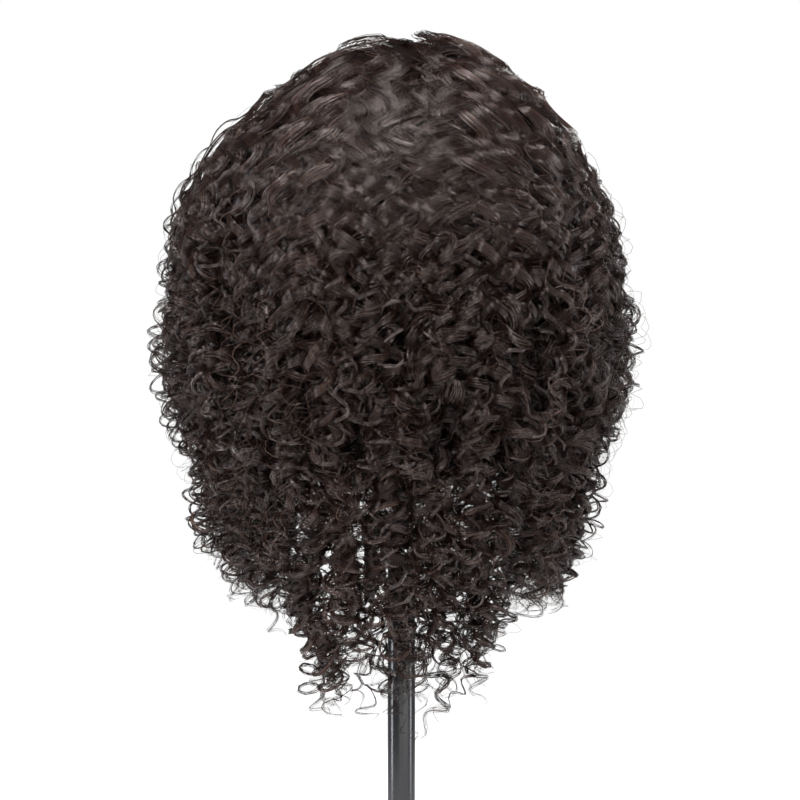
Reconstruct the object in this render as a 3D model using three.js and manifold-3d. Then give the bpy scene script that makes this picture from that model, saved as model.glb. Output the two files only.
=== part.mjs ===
// Mannequin training head on a folding table stand.
//
// Frame: millimetres, +Z up. The origin is the centre of the stand's base pad on the table, the
// column runs up +Z, and the face looks along -Y.
import * as THREE from 'three';
import { mergeVertices } from 'three/addons/utils/BufferGeometryUtils.js';
import Module from 'manifold-3d';

const wasm = await Module();
wasm.setup();

// ---------- driving dimensions ----------
const GAP = 0.3; // running and assembly clearance between neighbouring solids

const VERTEX_Z = 752; // top of the skull
const NECK_Z = 445; // underside of the neck
const SKIN = 4.5; // vinyl wall of the head

const HAIR_TOP_Z = 768;
const HAIR_LOW_Z = 288;
const HAIR_CAVITY_R = 62; // free space in the hanging hair, round the column

const TUBE_R = 10; // inner, telescoping tube
const TUBE_WALL = 1.5;
const TUBE_Z = [95, 388];
const OUTER_R = 12.5; // fixed outer tube
const OUTER_WALL = 1.5;
const OUTER_Z = [12, 180];
const PIVOT_Z = 410; // tilt axis, along X

const HUB_R = 42;
const HUB_Z = [4.3, 56];
const PAD_R = 38;
const LEG_ANGLES = [270, 30, 150]; // degrees round the column
const LEG_PIVOT_R = 34;
const LEG_PIVOT_Z = 38;
const LEG_LENGTH = 165;
const LEG_R = 8.5;
const LEG_END_Z = 14; // height of the leg's centre line at its foot
const KNOB_ANGLE = 330;
const KNOB_Z = 189;

const PIN_R = 3; // hinge pins of the legs
const BOLT_R = 4; // pivot bolt and the height knob's stud, M8
const SEAT_SCREW_R = 2.4; // holds the peg on the tilt arm, M5
const HUB_SCREW_R = 2.5;
const PLUG_SCREW_R = 1.3;
const EAR_HALF = 6; // half thickness of the tilt arm's tongue

const ROUND = 24; // segments of a turned part
const LEG_SLOPE = Math.asin((LEG_PIVOT_Z - LEG_END_Z) / LEG_LENGTH);
const RAD = Math.PI / 180;

// ---------- materials ----------
const finish = (color, roughness, metalness = 0) =>
  new THREE.MeshStandardMaterial({ color, roughness, metalness });
const SATIN_BLACK = finish(0x24252a, 0.32, 0.6);
const CAST_BLACK = finish(0x1b1b1d, 0.6, 0.3);
const BLACK_PLASTIC = finish(0x19191b, 0.5);
const BLACK_RUBBER = finish(0x121212, 0.85);
const STEEL = finish(0xa9abad, 0.35, 1);
const NATURAL_NYLON = finish(0xe8e4d8, 0.4);
const BROWN_FIBRE = finish(0x8b5a2b, 0.8);
const VINYL = finish(0xc99a7c, 0.55);
const FOAM = finish(0xe4d9b8, 0.9);
const EYE = finish(0xf1eee8, 0.15);
const LASH = finish(0x15100e, 0.7);
const HAIR = finish(0x2e2422, 0.55);

// ---------- solids ----------
// A closed geometry as a manifold-3d solid, turned inside out if its faces point inwards.
function solid(geometry) {
  const bare = geometry.index ? geometry.toNonIndexed() : geometry.clone();
  bare.deleteAttribute('normal');
  bare.deleteAttribute('uv');
  const merged = mergeVertices(bare, 1e-3);
  const corners = merged.index.array;
  const kept = [];
  for (let i = 0; i < corners.length; i += 3) {
    const [a, b, c] = corners.slice(i, i + 3);
    if (a !== b && b !== c && c !== a) kept.push(a, b, c);
  }
  const vertProperties = merged.attributes.position.array;
  const mesh = (triVerts) => new wasm.Mesh({ numProp: 3, vertProperties, triVerts });
  const made = new wasm.Manifold(mesh(new Uint32Array(kept)));
  return made.volume() > 0 ? made : new wasm.Manifold(mesh(new Uint32Array(kept).reverse()));
}

function geometryOf(manifold) {
  const { vertProperties, numProp, triVerts } = manifold.getMesh();
  const positions = new Float32Array((vertProperties.length / numProp) * 3);
  for (let i = 0; i < positions.length / 3; i++) {
    positions.set(vertProperties.subarray(i * numProp, i * numProp + 3), i * 3);
  }
  const geometry = new THREE.BufferGeometry();
  geometry.setAttribute('position', new THREE.BufferAttribute(positions, 3));
  geometry.setIndex(new THREE.BufferAttribute(triVerts, 1));
  geometry.computeVertexNormals();
  return geometry;
}

const join = (...solids) => solids.reduce((all, one) => all.add(one));
const cut = (body, ...tools) => tools.reduce((left, tool) => left.subtract(tool), body);

// A profile of [radius, z] points turned about Z.
function turned(profile, segments = ROUND) {
  const points = profile.map(([r, z]) => new THREE.Vector2(r, z));
  return solid(new THREE.LatheGeometry(points, segments).rotateX(Math.PI / 2));
}
const rod = (r, z0, z1, segments) => turned([[0, z0], [r, z0], [r, z1], [0, z1]], segments);
const ring = (rOut, rIn, z0, z1, segments) =>
  turned([[rIn, z0], [rOut, z0], [rOut, z1], [rIn, z1], [rIn, z0]], segments);
const box = (x0, x1, y0, y1, z0, z1) =>
  solid(new THREE.BoxGeometry(x1 - x0, y1 - y0, z1 - z0)
    .translate((x0 + x1) / 2, (y0 + y1) / 2, (z0 + z1) / 2));
const ball = (r, x, y, z) => solid(new THREE.SphereGeometry(r, 16, 10).translate(x, y, z));

// Turns a solid made along Z so that it runs along +X, through the point given.
function alongX(made, x, y, z) {
  return solid(geometryOf(made).rotateY(Math.PI / 2).translate(x, y, z));
}
const aboutZ = (made, degrees) => solid(geometryOf(made).rotateZ(degrees * RAD));

// A flat outline in the YZ plane, drawn as (y, z), given thickness from x0 to x1.
function plateX(shape, x0, x1, curveSegments = 10) {
  const geometry = new THREE.ExtrudeGeometry(shape, {
    depth: x1 - x0, bevelEnabled: false, curveSegments,
  });
  // (y, z, depth) becomes (depth, y, z)
  const place = new THREE.Matrix4().makeBasis(
    new THREE.Vector3(0, 1, 0), new THREE.Vector3(0, 0, 1), new THREE.Vector3(1, 0, 0));
  return solid(geometry.applyMatrix4(place).translate(x0, 0, 0));
}

// ---------- assembly ----------
const trainingHead = new THREE.Group();

function part(name, made, material, parent = trainingHead) {
  const mesh = new THREE.Mesh(geometryOf(made), material);
  mesh.name = name;
  parent.add(mesh);
  return mesh;
}

// ---------- base: pad, hub, outer tube ----------
const HUB_SCREW_Z = 20;
function hub() {
  const body = turned([
    [0, HUB_Z[0]], [HUB_R - 1.5, HUB_Z[0]], [HUB_R, HUB_Z[0] + 1.5], [HUB_R, 46],
    [HUB_R - 4, 52], [26, HUB_Z[1] - 1], [24, HUB_Z[1]], [0, HUB_Z[1]],
  ], 36);
  const tongueHalf = 6.4;
  const slots = LEG_ANGLES.map((angle) =>
    aboutZ(box(16, HUB_R + 6, -tongueHalf, tongueHalf, 27, HUB_Z[1] + 2), angle));
  const pinHoles = LEG_ANGLES.map((angle) => aboutZ(
    solid(geometryOf(rod(PIN_R + GAP, -17, 17, 12)).rotateX(Math.PI / 2)
      .translate(LEG_PIVOT_R, 0, LEG_PIVOT_Z)), angle));
  const socket = rod(OUTER_R + GAP, OUTER_Z[0] - GAP, HUB_Z[1] + 2);
  const screwHole = aboutZ(alongX(rod(HUB_SCREW_R + GAP, 0, 60, 14), 0, 0, HUB_SCREW_Z), KNOB_ANGLE);
  return cut(body, socket, screwHole, ...slots, ...pinHoles);
}

function hubScrew() {
  const shank = rod(HUB_SCREW_R, OUTER_R + GAP, HUB_R + 2, 14);
  const head = rod(4.6, HUB_R + GAP, HUB_R + 4.5, 18);
  const hexSocket = rod(2.2, HUB_R + 2.4, HUB_R + 5, 6);
  return aboutZ(alongX(join(shank, cut(head, hexSocket)), 0, 0, HUB_SCREW_Z), KNOB_ANGLE);
}

part('base_pad', turned([[0, 0], [PAD_R, 0], [PAD_R, 3], [PAD_R - 1, 4], [0, 4]], 36), BLACK_RUBBER);
part('leg_hub', hub(), CAST_BLACK);
part('hub_screw', hubScrew(), STEEL);
part('outer_tube', ring(OUTER_R, OUTER_R - OUTER_WALL, ...OUTER_Z, 32), SATIN_BLACK);

// ---------- legs ----------
// The leg in its own frame: hinge pin at the origin, tube along +X.
function leg() {
  const tongue = new THREE.Shape();
  tongue.absarc(0, 0, 8, Math.PI / 2, Math.PI * 1.5, false);
  tongue.lineTo(26, -8);
  tongue.lineTo(26, 8);
  const thickness = 12;
  const flat = solid(
    new THREE.ExtrudeGeometry(tongue, { depth: thickness, bevelEnabled: false, curveSegments: 6 })
      .translate(0, 0, -thickness / 2).rotateX(Math.PI / 2));
  const tube = alongX(rod(LEG_R, 19, LEG_LENGTH, 20), 0, 0, 0);
  const hollow = alongX(rod(LEG_R - 1.5, 30, LEG_LENGTH + 2, 20), 0, 0, 0);
  const pinHole = solid(geometryOf(rod(PIN_R + GAP, -8, 8, 12)).rotateX(Math.PI / 2));
  return cut(join(flat, tube), hollow, pinHole);
}

// The foot in the hub's frame: a cap on the end of the sloping tube, standing on a flat round pad.
function foot() {
  const slopeDown = (made) => solid(geometryOf(made).rotateY(LEG_SLOPE)
    .translate(LEG_PIVOT_R, 0, LEG_PIVOT_Z));
  const cap = slopeDown(alongX(turned([
    [0, LEG_LENGTH - 18], [LEG_R + 2, LEG_LENGTH - 18], [LEG_R + 2, LEG_LENGTH + 2],
    [LEG_R - 1, LEG_LENGTH + 4], [0, LEG_LENGTH + 4],
  ], 18), 0, 0, 0));
  const tubeRoom = slopeDown(alongX(rod(LEG_R + GAP, 0, LEG_LENGTH + GAP, 18), 0, 0, 0));
  const padX = LEG_PIVOT_R + (LEG_LENGTH - 8) * Math.cos(LEG_SLOPE);
  const padProfile = [[0, 0], [12, 0], [13, 1.5], [12, 5], [9, LEG_END_Z], [0, LEG_END_Z]];
  const pad = solid(geometryOf(turned(padProfile, 18)).translate(padX, 0, 0));
  return cut(join(cap, pad), tubeRoom);
}

LEG_ANGLES.forEach((angle, i) => {
  const spoke = new THREE.Group();
  spoke.rotation.z = angle * RAD;
  trainingHead.add(spoke);
  const legMesh = part(`leg_${i + 1}`, leg(), SATIN_BLACK, spoke);
  legMesh.position.set(LEG_PIVOT_R, 0, LEG_PIVOT_Z);
  legMesh.rotation.y = LEG_SLOPE;
  part(`foot_${i + 1}`, foot(), BLACK_RUBBER, spoke);
  const pin = part(`leg_pin_${i + 1}`, rod(PIN_R, -15, 15, 12), STEEL, spoke);
  pin.position.set(LEG_PIVOT_R, 0, LEG_PIVOT_Z);
  pin.rotation.x = Math.PI / 2;
});

// ---------- height clamp ----------
const COLLAR_R = 21;
const COLLAR_Z = 162;
const collarTop = OUTER_Z[1] + 20;
const atKnob = (made) => aboutZ(alongX(made, 0, 0, KNOB_Z), KNOB_ANGLE);
function heightCollar() {
  const body = turned([
    [0, COLLAR_Z], [COLLAR_R - 1.5, COLLAR_Z], [COLLAR_R, COLLAR_Z + 1.5], [COLLAR_R, collarTop - 3],
    [COLLAR_R - 4, collarTop], [0, collarTop],
  ]);
  const boss = atKnob(rod(8, 14, 28, 24));
  const outerTubeRoom = rod(OUTER_R + GAP, COLLAR_Z - 2, OUTER_Z[1] + GAP);
  const innerTubeRoom = rod(TUBE_R + GAP, COLLAR_Z - 2, collarTop + 2);
  const studHole = atKnob(rod(BOLT_R + GAP, 0, 30, 18));
  return cut(join(body, boss), outerTubeRoom, innerTubeRoom, studHole);
}
part('height_collar', heightCollar(), BLACK_PLASTIC);
part('clamp_shoe', atKnob(rod(3.9, TUBE_R + GAP + 0.4, TUBE_R + 3.4, 18)), NATURAL_NYLON);

// A star knob about +X: lobes round a hub, on a threaded stud.
function starKnob(lobes, rLobe, x0, x1, lobeDepth = 1.6) {
  const shape = new THREE.Shape();
  const steps = lobes * 6;
  for (let i = 0; i < steps; i++) {
    const a = (i / steps) * 2 * Math.PI;
    const r = rLobe + lobeDepth * Math.cos(lobes * a);
    if (i) shape.lineTo(r * Math.cos(a), r * Math.sin(a));
    else shape.moveTo(r, 0);
  }
  const bevel = 1.2;
  return solid(new THREE.ExtrudeGeometry(shape, {
    depth: x1 - x0 - 2 * bevel,
    bevelThickness: bevel,
    bevelSize: bevel,
    bevelOffset: -bevel,
    bevelSegments: 1,
  }).translate(0, 0, x0 + bevel));
}
const knob = join(starKnob(5, 13, 32, 46), rod(8.5, 28.4, 33), rod(BOLT_R, TUBE_R + 3.8, 34, 18));
part('height_knob', atKnob(knob), BLACK_PLASTIC);

// ---------- telescoping column ----------
const BUSH_R = TUBE_R + 0.6; // slides in the outer tube
const BUSH_SPIGOT_R = TUBE_R - TUBE_WALL - GAP; // fits in the inner tube
const bushStep = TUBE_Z[0] - GAP;
part('guide_bush', turned([
  [0, bushStep - 11], [BUSH_R, bushStep - 11], [BUSH_R, bushStep],
  [BUSH_SPIGOT_R, bushStep], [BUSH_SPIGOT_R, bushStep + 15], [0, bushStep + 15],
]), NATURAL_NYLON);
part('inner_tube', ring(TUBE_R, TUBE_R - TUBE_WALL, ...TUBE_Z), SATIN_BLACK);

// ---------- tilt joint ----------
const EAR_R = 12;
function roundedTab(halfWidth, zFoot) {
  const tab = new THREE.Shape();
  tab.moveTo(-halfWidth, zFoot);
  tab.lineTo(halfWidth, zFoot);
  tab.lineTo(EAR_R, PIVOT_Z);
  tab.absarc(0, PIVOT_Z, EAR_R, 0, Math.PI, false);
  return tab;
}
const pivotHole = alongX(rod(BOLT_R + GAP, -40, 40, 20), 0, 0, PIVOT_Z);
const CLEVIS_X = [9.5, 15.5]; // inside and outside of its ears
function clevis() {
  const tubeTop = TUBE_Z[1] + GAP;
  const foot = turned([
    [0, 364], [7, 364], [BUSH_SPIGOT_R, 366], [BUSH_SPIGOT_R, tubeTop],
    [13, tubeTop], [CLEVIS_X[1], 391], [CLEVIS_X[1], 395], [0, 395],
  ]);
  const tab = roundedTab(12, 392);
  const ears = [plateX(tab, CLEVIS_X[0], CLEVIS_X[1]), plateX(tab, -CLEVIS_X[1], -CLEVIS_X[0])];
  return cut(join(foot, ...ears), pivotHole);
}
part('tilt_clevis', clevis(), CAST_BLACK);

const SEAT_Z = 440; // top of the round plate that the peg stands on
function tiltArm() {
  const tongue = new THREE.Shape();
  tongue.absarc(0, PIVOT_Z, EAR_R, Math.PI, 2 * Math.PI, false);
  tongue.lineTo(EAR_R, SEAT_Z - 6);
  tongue.lineTo(-EAR_R, SEAT_Z - 6);
  const plate = turned([[0, SEAT_Z - 8], [22, SEAT_Z - 8], [24, SEAT_Z - 6], [24, SEAT_Z], [0, SEAT_Z]], 32);
  const screwHole = rod(SEAT_SCREW_R + GAP, 419, SEAT_Z + 2, 16);
  return cut(join(plateX(tongue, -EAR_HALF, EAR_HALF), plate), pivotHole, screwHole);
}
part('tilt_arm', tiltArm(), CAST_BLACK);
const WASHER = 2.9; // thickness
const washer = (x) => alongX(ring(11.5, BOLT_R + GAP, x, x + WASHER, 24), 0, 0, PIVOT_Z);
part('friction_washer_left', washer(EAR_HALF + GAP), BROWN_FIBRE);
part('friction_washer_right', washer(-EAR_HALF - GAP - WASHER), BROWN_FIBRE);
const boltShank = rod(3.9, -17, 27, 20);
const boltHead = rod(6.5, -21, -15.8, 6);
part('pivot_bolt', alongX(join(boltShank, boltHead), 0, 0, PIVOT_Z), STEEL);

// A lock lever: a hub on the bolt's thread with a tapered handle, in the YZ plane.
const LEVER_ANGLE = 205; // degrees from +Z, turning towards -Y
function lever() {
  const handle = new THREE.Shape();
  handle.moveTo(-5, 4);
  handle.lineTo(-3.6, 44);
  handle.absarc(0, 48, 5.2, Math.PI, 0, true);
  handle.lineTo(5, 4);
  const flat = plateX(handle, 19, 27, 6);
  const boss = alongX(ring(9, BOLT_R + GAP, 16, 29, 24), 0, 0, 0);
  const bore = alongX(rod(BOLT_R + GAP, 10, 40, 24), 0, 0, 0);
  const upright = geometryOf(join(cut(flat, bore), boss));
  return solid(upright.rotateX(LEVER_ANGLE * RAD).translate(0, 0, PIVOT_Z));
}
part('tilt_lever', lever(), BLACK_PLASTIC);

// ---------- peg that the head sits on ----------
const PEG_TOP = 500;
const SCREW_HEAD_R = 5;
const screwSeat = PEG_TOP - 9; // the screw's head lies in a recess in the peg's top
function peg() {
  const body = turned([
    [0, SEAT_Z + GAP], [22, SEAT_Z + GAP], [22, 443.5], [21, 444.6], [11, 444.6],
    [10.2, PEG_TOP - 3], [8.6, PEG_TOP], [0, PEG_TOP],
  ]);
  const screwHole = rod(SEAT_SCREW_R + GAP, SEAT_Z - 2, PEG_TOP + 2, 16);
  const recess = rod(SCREW_HEAD_R + GAP, screwSeat, PEG_TOP + 2, 20);
  return cut(body, screwHole, recess);
}
function pegScrew() {
  const shank = rod(SEAT_SCREW_R, SEAT_Z - 20, screwSeat + 1, 16);
  const head = rod(SCREW_HEAD_R, screwSeat + GAP, screwSeat + 5, 20);
  const hexSocket = rod(2.4, screwSeat + 2, screwSeat + 7, 6);
  return join(shank, cut(head, hexSocket));
}
part('peg', peg(), BLACK_PLASTIC);
part('peg_screw', pegScrew(), STEEL);

// ---------- head ----------
// Each row is [z, half width, front depth, back depth, roundness of the front]: the outline of the
// head and neck at one height. Roundness 2 is an ellipse, less is more pointed, more is squarer.
const HEAD_ROWS = [
  [VERTEX_Z, 0, 0, 0, 2], [750, 18, 17, 21, 2], [745, 33, 34, 38, 2], [734, 50, 57, 61, 2.1],
  [715, 65, 78, 80, 2.2], [690, 74, 90, 92, 2.3], [665, 76, 94, 96, 2.3], [640, 75, 92, 96, 2.2],
  [615, 71, 93, 90, 2.1], [590, 65, 95, 79, 2], [565, 58, 92, 67, 1.9], [545, 53, 94, 61, 1.75],
  [531, 51, 89, 58, 1.75], [522, 51, 66, 57, 1.9], [510, 51, 51, 56, 2], [480, 51, 47, 56, 2],
  [NECK_Z, 55, 54, 59, 2],
];

// The outline row at height z, eased between the rows above and below.
function outlineAt(height) {
  const z = THREE.MathUtils.clamp(height, NECK_Z, VERTEX_Z);
  const i = Math.max(1, HEAD_ROWS.findIndex((row) => row[0] <= z));
  const pick = (k) => HEAD_ROWS[Math.min(Math.max(k, 0), HEAD_ROWS.length - 1)];
  const [a, b, c, d] = [pick(i - 2), pick(i - 1), pick(i), pick(i + 1)];
  const t = (b[0] - z) / (b[0] - c[0]);
  const slope = (p, q, column) => (q[column] - p[column]) / Math.max(p[0] - q[0], 1e-6);
  const step = b[0] - c[0];
  return [1, 2, 3, 4].map((column) => {
    const here = i <= 1 ? slope(b, c, column) * 2 : slope(a, c, column);
    const next = slope(b, d, column);
    const t2 = t * t;
    const t3 = t2 * t;
    return (2 * t3 - 3 * t2 + 1) * b[column] + (t3 - 2 * t2 + t) * step * here
      + (-2 * t3 + 3 * t2) * c[column] + (t3 - t2) * step * next;
  });
}

const bump = (value, centre, spread) => Math.exp(-(((value - centre) / spread) ** 2));

// Features raised from the face, in millimetres towards -Y.
function relief(x, z) {
  const ridge = THREE.MathUtils.smoothstep(648 - z, 0, 38) * (z > 600 ? 1 : bump(z, 600, 5));
  const nose = 21 * ridge * bump(x, 0, 8 + 4 * bump(z, 604, 10));
  const lips = 5 * bump(x, 0, 20) * (bump(z, 579, 5) + bump(z, 569, 5));
  const sockets = -7 * (bump(x, 31, 15) + bump(x, -31, 15)) * bump(z, 636, 11);
  const brows = 2.5 * (bump(x, 30, 20) + bump(x, -30, 20)) * bump(z, 655, 8);
  return nose + lips + sockets + brows;
}

// The head as one closed surface, drawn in by inset on every side. Rings crowd towards the vertex,
// run at an even step down the face, and open out on the neck.
function headForm(inset, { domeRings, faceStep, neckRings, segments, zLow, face }) {
  const top = VERTEX_Z - inset;
  const [browZ, chinZ] = [680, 530];
  const heights = [];
  for (let k = 0; k < domeRings; k++) heights.push(top - (top - browZ) * (k / domeRings) ** 1.8);
  for (let z = browZ; z > chinZ; z -= faceStep) heights.push(z);
  for (let k = 0; k <= neckRings; k++) heights.push(chinZ + (zLow - chinZ) * (k / neckRings));
  const rings = heights.length - 1;
  const points = [];
  for (let k = 0; k <= rings; k++) {
    const z = heights[k];
    const [w, f, b, n] = outlineAt(z + inset * Math.max(0, 1 - (VERTEX_Z - z) / 60));
    for (let j = 0; j < segments; j++) {
      const u = (j / segments) * 2 * Math.PI;
      const c = Math.cos(u);
      const q = Math.sin(u);
      const front = q < 0;
      const power = 2 / (front ? n : 2);
      const grow = (length) => (k ? Math.max(length - inset, 0.5) : 0);
      const x = Math.sign(c) * Math.abs(c) ** power * grow(w);
      let y = Math.sign(q) * Math.abs(q) ** power * grow(front ? f : b);
      if (face && front) y -= relief(x, z) * Math.min(1, Math.abs(q) * 1.6);
      points.push(x, y, z);
    }
  }
  const index = [];
  for (let k = 0; k < rings; k++) {
    for (let j = 0; j < segments; j++) {
      const [a, b] = [k * segments + j, k * segments + ((j + 1) % segments)];
      index.push(a, a + segments, b, b, a + segments, b + segments);
    }
  }
  const low = points.length / 3;
  points.push(0, 0, zLow);
  for (let j = 0; j < segments; j++) {
    index.push(low, rings * segments + ((j + 1) % segments), rings * segments + j);
  }
  const geometry = new THREE.BufferGeometry();
  geometry.setAttribute('position', new THREE.Float32BufferAttribute(points, 3));
  geometry.setIndex(index);
  return solid(geometry);
}

const EAR = { x: 72, y: 12, z: 617 };
const ear = (side, more = 0) => solid(new THREE.SphereGeometry(1, 14, 8)
  .scale(7 + more, 15 + more, 29 + more).rotateX(-0.15).rotateZ(side * 0.35)
  .translate(side * EAR.x, EAR.y, EAR.z));
const EYE_R = 12;
const EYE_AT = [31, -73, 636];
const eyeBall = (side, r) => ball(r, side * EYE_AT[0], EYE_AT[1], EYE_AT[2]);

const skinForm = { domeRings: 8, faceStep: 7, neckRings: 3, segments: 36, zLow: NECK_Z, face: true };
const cavityForm = { domeRings: 5, faceStep: 25, neckRings: 3, segments: 22, zLow: NECK_Z - 1, face: false };
const cavity = headForm(SKIN, cavityForm);
const SCREW_Z = 458;
const plugScrews = { left: 0, back: 90, right: 180 };
const screwReach = { left: 54.6, back: 58.8, right: 54.6 };
const atPlugScrew = (made, side) => aboutZ(alongX(made, 0, 0, SCREW_Z), plugScrews[side]);
const sides = Object.keys(plugScrews);
const screwHoles = sides.map((side) => atPlugScrew(rod(PLUG_SCREW_R + GAP, 30, 66, 12), side));

part('head_shell', cut(join(headForm(0, skinForm), ear(1), ear(-1)), cavity,
  eyeBall(1, EYE_R + GAP), eyeBall(-1, EYE_R + GAP), ...screwHoles), VINYL);

const PLUG_TOP = 471;
const SOCKET_R = 14;
const SLEEVE_Z = [NECK_Z + GAP, PEG_TOP + 5];
const lining = headForm(SKIN + 0.5, cavityForm);
const plugRegion = box(-90, 90, -90, 90, NECK_Z + GAP, PLUG_TOP);
const coreRegion = box(-120, 120, -150, 150, PLUG_TOP + GAP, VERTEX_Z);
part('neck_plug', cut(lining.intersect(plugRegion),
  rod(SOCKET_R, NECK_Z - 2, PLUG_TOP + 2), ...screwHoles), BLACK_PLASTIC);
part('foam_core', cut(lining.intersect(coreRegion),
  rod(SOCKET_R, PLUG_TOP - 2, SLEEVE_Z[1] + 3),
  eyeBall(1, EYE_R + 2 * GAP), eyeBall(-1, EYE_R + 2 * GAP)), FOAM);
part('socket_sleeve', ring(SOCKET_R - GAP, 11.4, ...SLEEVE_Z), BLACK_RUBBER);
for (const side of sides) {
  const reach = screwReach[side];
  const shank = rod(PLUG_SCREW_R, 36, reach + 1, 12);
  const head = turned([
    [0, reach], [3.2, reach], [3.2, reach + 0.8], [2, reach + 2], [0, reach + 2],
  ], 16);
  part(`plug_screw_${side}`, atPlugScrew(join(shank, head), side), STEEL);
}
part('eye_left', eyeBall(1, EYE_R), EYE);
part('eye_right', eyeBall(-1, EYE_R), EYE);

// Lashes: a thin curved strip in front of each upper lid.
function lashes(side) {
  const arc = new THREE.Shape();
  const [inner, outer, spread] = [13, 24, 0.55];
  arc.absarc(0, 0, outer, -Math.PI / 2 - spread, -Math.PI / 2 + spread, false);
  arc.absarc(0, 0, inner, -Math.PI / 2 + spread, -Math.PI / 2 - spread, true);
  const strip = solid(new THREE.ExtrudeGeometry(arc, { depth: 0.8, bevelEnabled: false, curveSegments: 5 })
    .rotateX(-0.25).translate(side * EYE_AT[0], EYE_AT[1], EYE_AT[2] + 6));
  return cut(strip, headForm(-0.5, skinForm), eyeBall(side, EYE_R + GAP));
}
part('eyelashes_left', lashes(1), LASH);
part('eyelashes_right', lashes(-1), LASH);

// ---------- hair ----------
// Each row is [z, width on +X, width on -X, front depth, back depth]: the outside of the hair at
// one height, measured from the column's axis.
const HAIR_ROWS = [
  [HAIR_TOP_Z, 0, 0, 0, 0], [763, 34, 40, 40, 40], [750, 62, 70, 72, 72], [735, 88, 92, 92, 98],
  [712, 114, 116, 108, 122], [685, 137, 135, 115, 140], [650, 156, 146, 117, 152],
  [600, 170, 159, 116, 160], [555, 168, 166, 114, 160], [515, 170, 167, 112, 156],
  [480, 155, 146, 106, 148], [440, 146, 136, 98, 140], [400, 134, 124, 88, 128],
  [365, 118, 110, 76, 114], [340, 96, 88, 72, 100], [310, 80, 74, 67, 88], [HAIR_LOW_Z, 68, 66, 64, 76],
];

function hairForm(segments = 30) {
  const points = [];
  HAIR_ROWS.forEach(([z, left, right, front, back]) => {
    for (let j = 0; j < segments; j++) {
      const u = (j / segments) * 2 * Math.PI;
      const width = Math.cos(u) > 0 ? left : right;
      const depth = Math.sin(u) < 0 ? front : back;
      points.push(Math.cos(u) * width, Math.sin(u) * depth, z);
    }
  });
  const index = [];
  const rows = HAIR_ROWS.length - 1;
  for (let k = 0; k < rows; k++) {
    for (let j = 0; j < segments; j++) {
      const [a, b] = [k * segments + j, k * segments + ((j + 1) % segments)];
      index.push(a, a + segments, b, b, a + segments, b + segments);
    }
  }
  const low = points.length / 3;
  points.push(0, 0, HAIR_LOW_Z);
  for (let j = 0; j < segments; j++) {
    index.push(low, rows * segments + ((j + 1) % segments), rows * segments + j);
  }
  const geometry = new THREE.BufferGeometry();
  geometry.setAttribute('position', new THREE.Float32BufferAttribute(points, 3));
  geometry.setIndex(index);
  return solid(geometry);
}

// The oval in front of the face and throat that the hair leaves open.
function faceWindow() {
  const oval = new THREE.Shape();
  oval.absellipse(0, 612, 60, 88, 0, Math.PI, false);
  oval.lineTo(-60, HAIR_LOW_Z - 10);
  oval.lineTo(60, HAIR_LOW_Z - 10);
  return solid(new THREE.ExtrudeGeometry(oval, { depth: 160, bevelEnabled: false, curveSegments: 10 })
    .rotateX(Math.PI / 2));
}

const scalpRoom = join(
  headForm(-2.5, { ...cavityForm, domeRings: 7, zLow: NECK_Z - 2 }),
  ear(1, 1.5),
  ear(-1, 1.5));
const columnRoom = turned([
  [0, HAIR_LOW_Z - 5], [HAIR_CAVITY_R, HAIR_LOW_Z - 5], [HAIR_CAVITY_R + 4, 440],
  [HAIR_CAVITY_R, 520], [0, 520],
], 20);
const hairMass = cut(hairForm(), join(scalpRoom, columnRoom), faceWindow());

const SEAM = 0.4; // half the gap between two neighbouring sections
const FAR = 400;
const TOP_CUT = 672; // crown above, sides and back below
const LOW_CUT = 500; // mid-lengths and ends below
const FRONT_CUT = -18; // fringe in front of this plane
const SIDE_CUT = 30; // sides in front of this plane, back behind it
const sections = {
  hair_crown: box(-FAR, FAR, FRONT_CUT + SEAM, FAR, TOP_CUT + SEAM, FAR * 2),
  hair_fringe_left: box(SEAM, FAR, -FAR, FRONT_CUT - SEAM, TOP_CUT + SEAM, FAR * 2),
  hair_fringe_right: box(-FAR, -SEAM, -FAR, FRONT_CUT - SEAM, TOP_CUT + SEAM, FAR * 2),
  hair_side_left: box(SEAM, FAR, -FAR, SIDE_CUT - SEAM, LOW_CUT + SEAM, TOP_CUT - SEAM),
  hair_side_right: box(-FAR, -SEAM, -FAR, SIDE_CUT - SEAM, LOW_CUT + SEAM, TOP_CUT - SEAM),
  hair_back_left: box(SEAM, FAR, SIDE_CUT + SEAM, FAR, LOW_CUT + SEAM, TOP_CUT - SEAM),
  hair_back_right: box(-FAR, -SEAM, SIDE_CUT + SEAM, FAR, LOW_CUT + SEAM, TOP_CUT - SEAM),
  hair_ends_left: box(SEAM, FAR, -FAR, SIDE_CUT - SEAM, 0, LOW_CUT - SEAM),
  hair_ends_right: box(-FAR, -SEAM, -FAR, SIDE_CUT - SEAM, 0, LOW_CUT - SEAM),
  hair_ends_back: box(-FAR, FAR, SIDE_CUT + SEAM, FAR, 0, LOW_CUT - SEAM),
};
for (const [name, region] of Object.entries(sections)) part(name, hairMass.intersect(region), HAIR);

export default trainingHead;
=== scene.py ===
"""Looks of the mannequin training head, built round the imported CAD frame."""

import math
from types import SimpleNamespace

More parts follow.
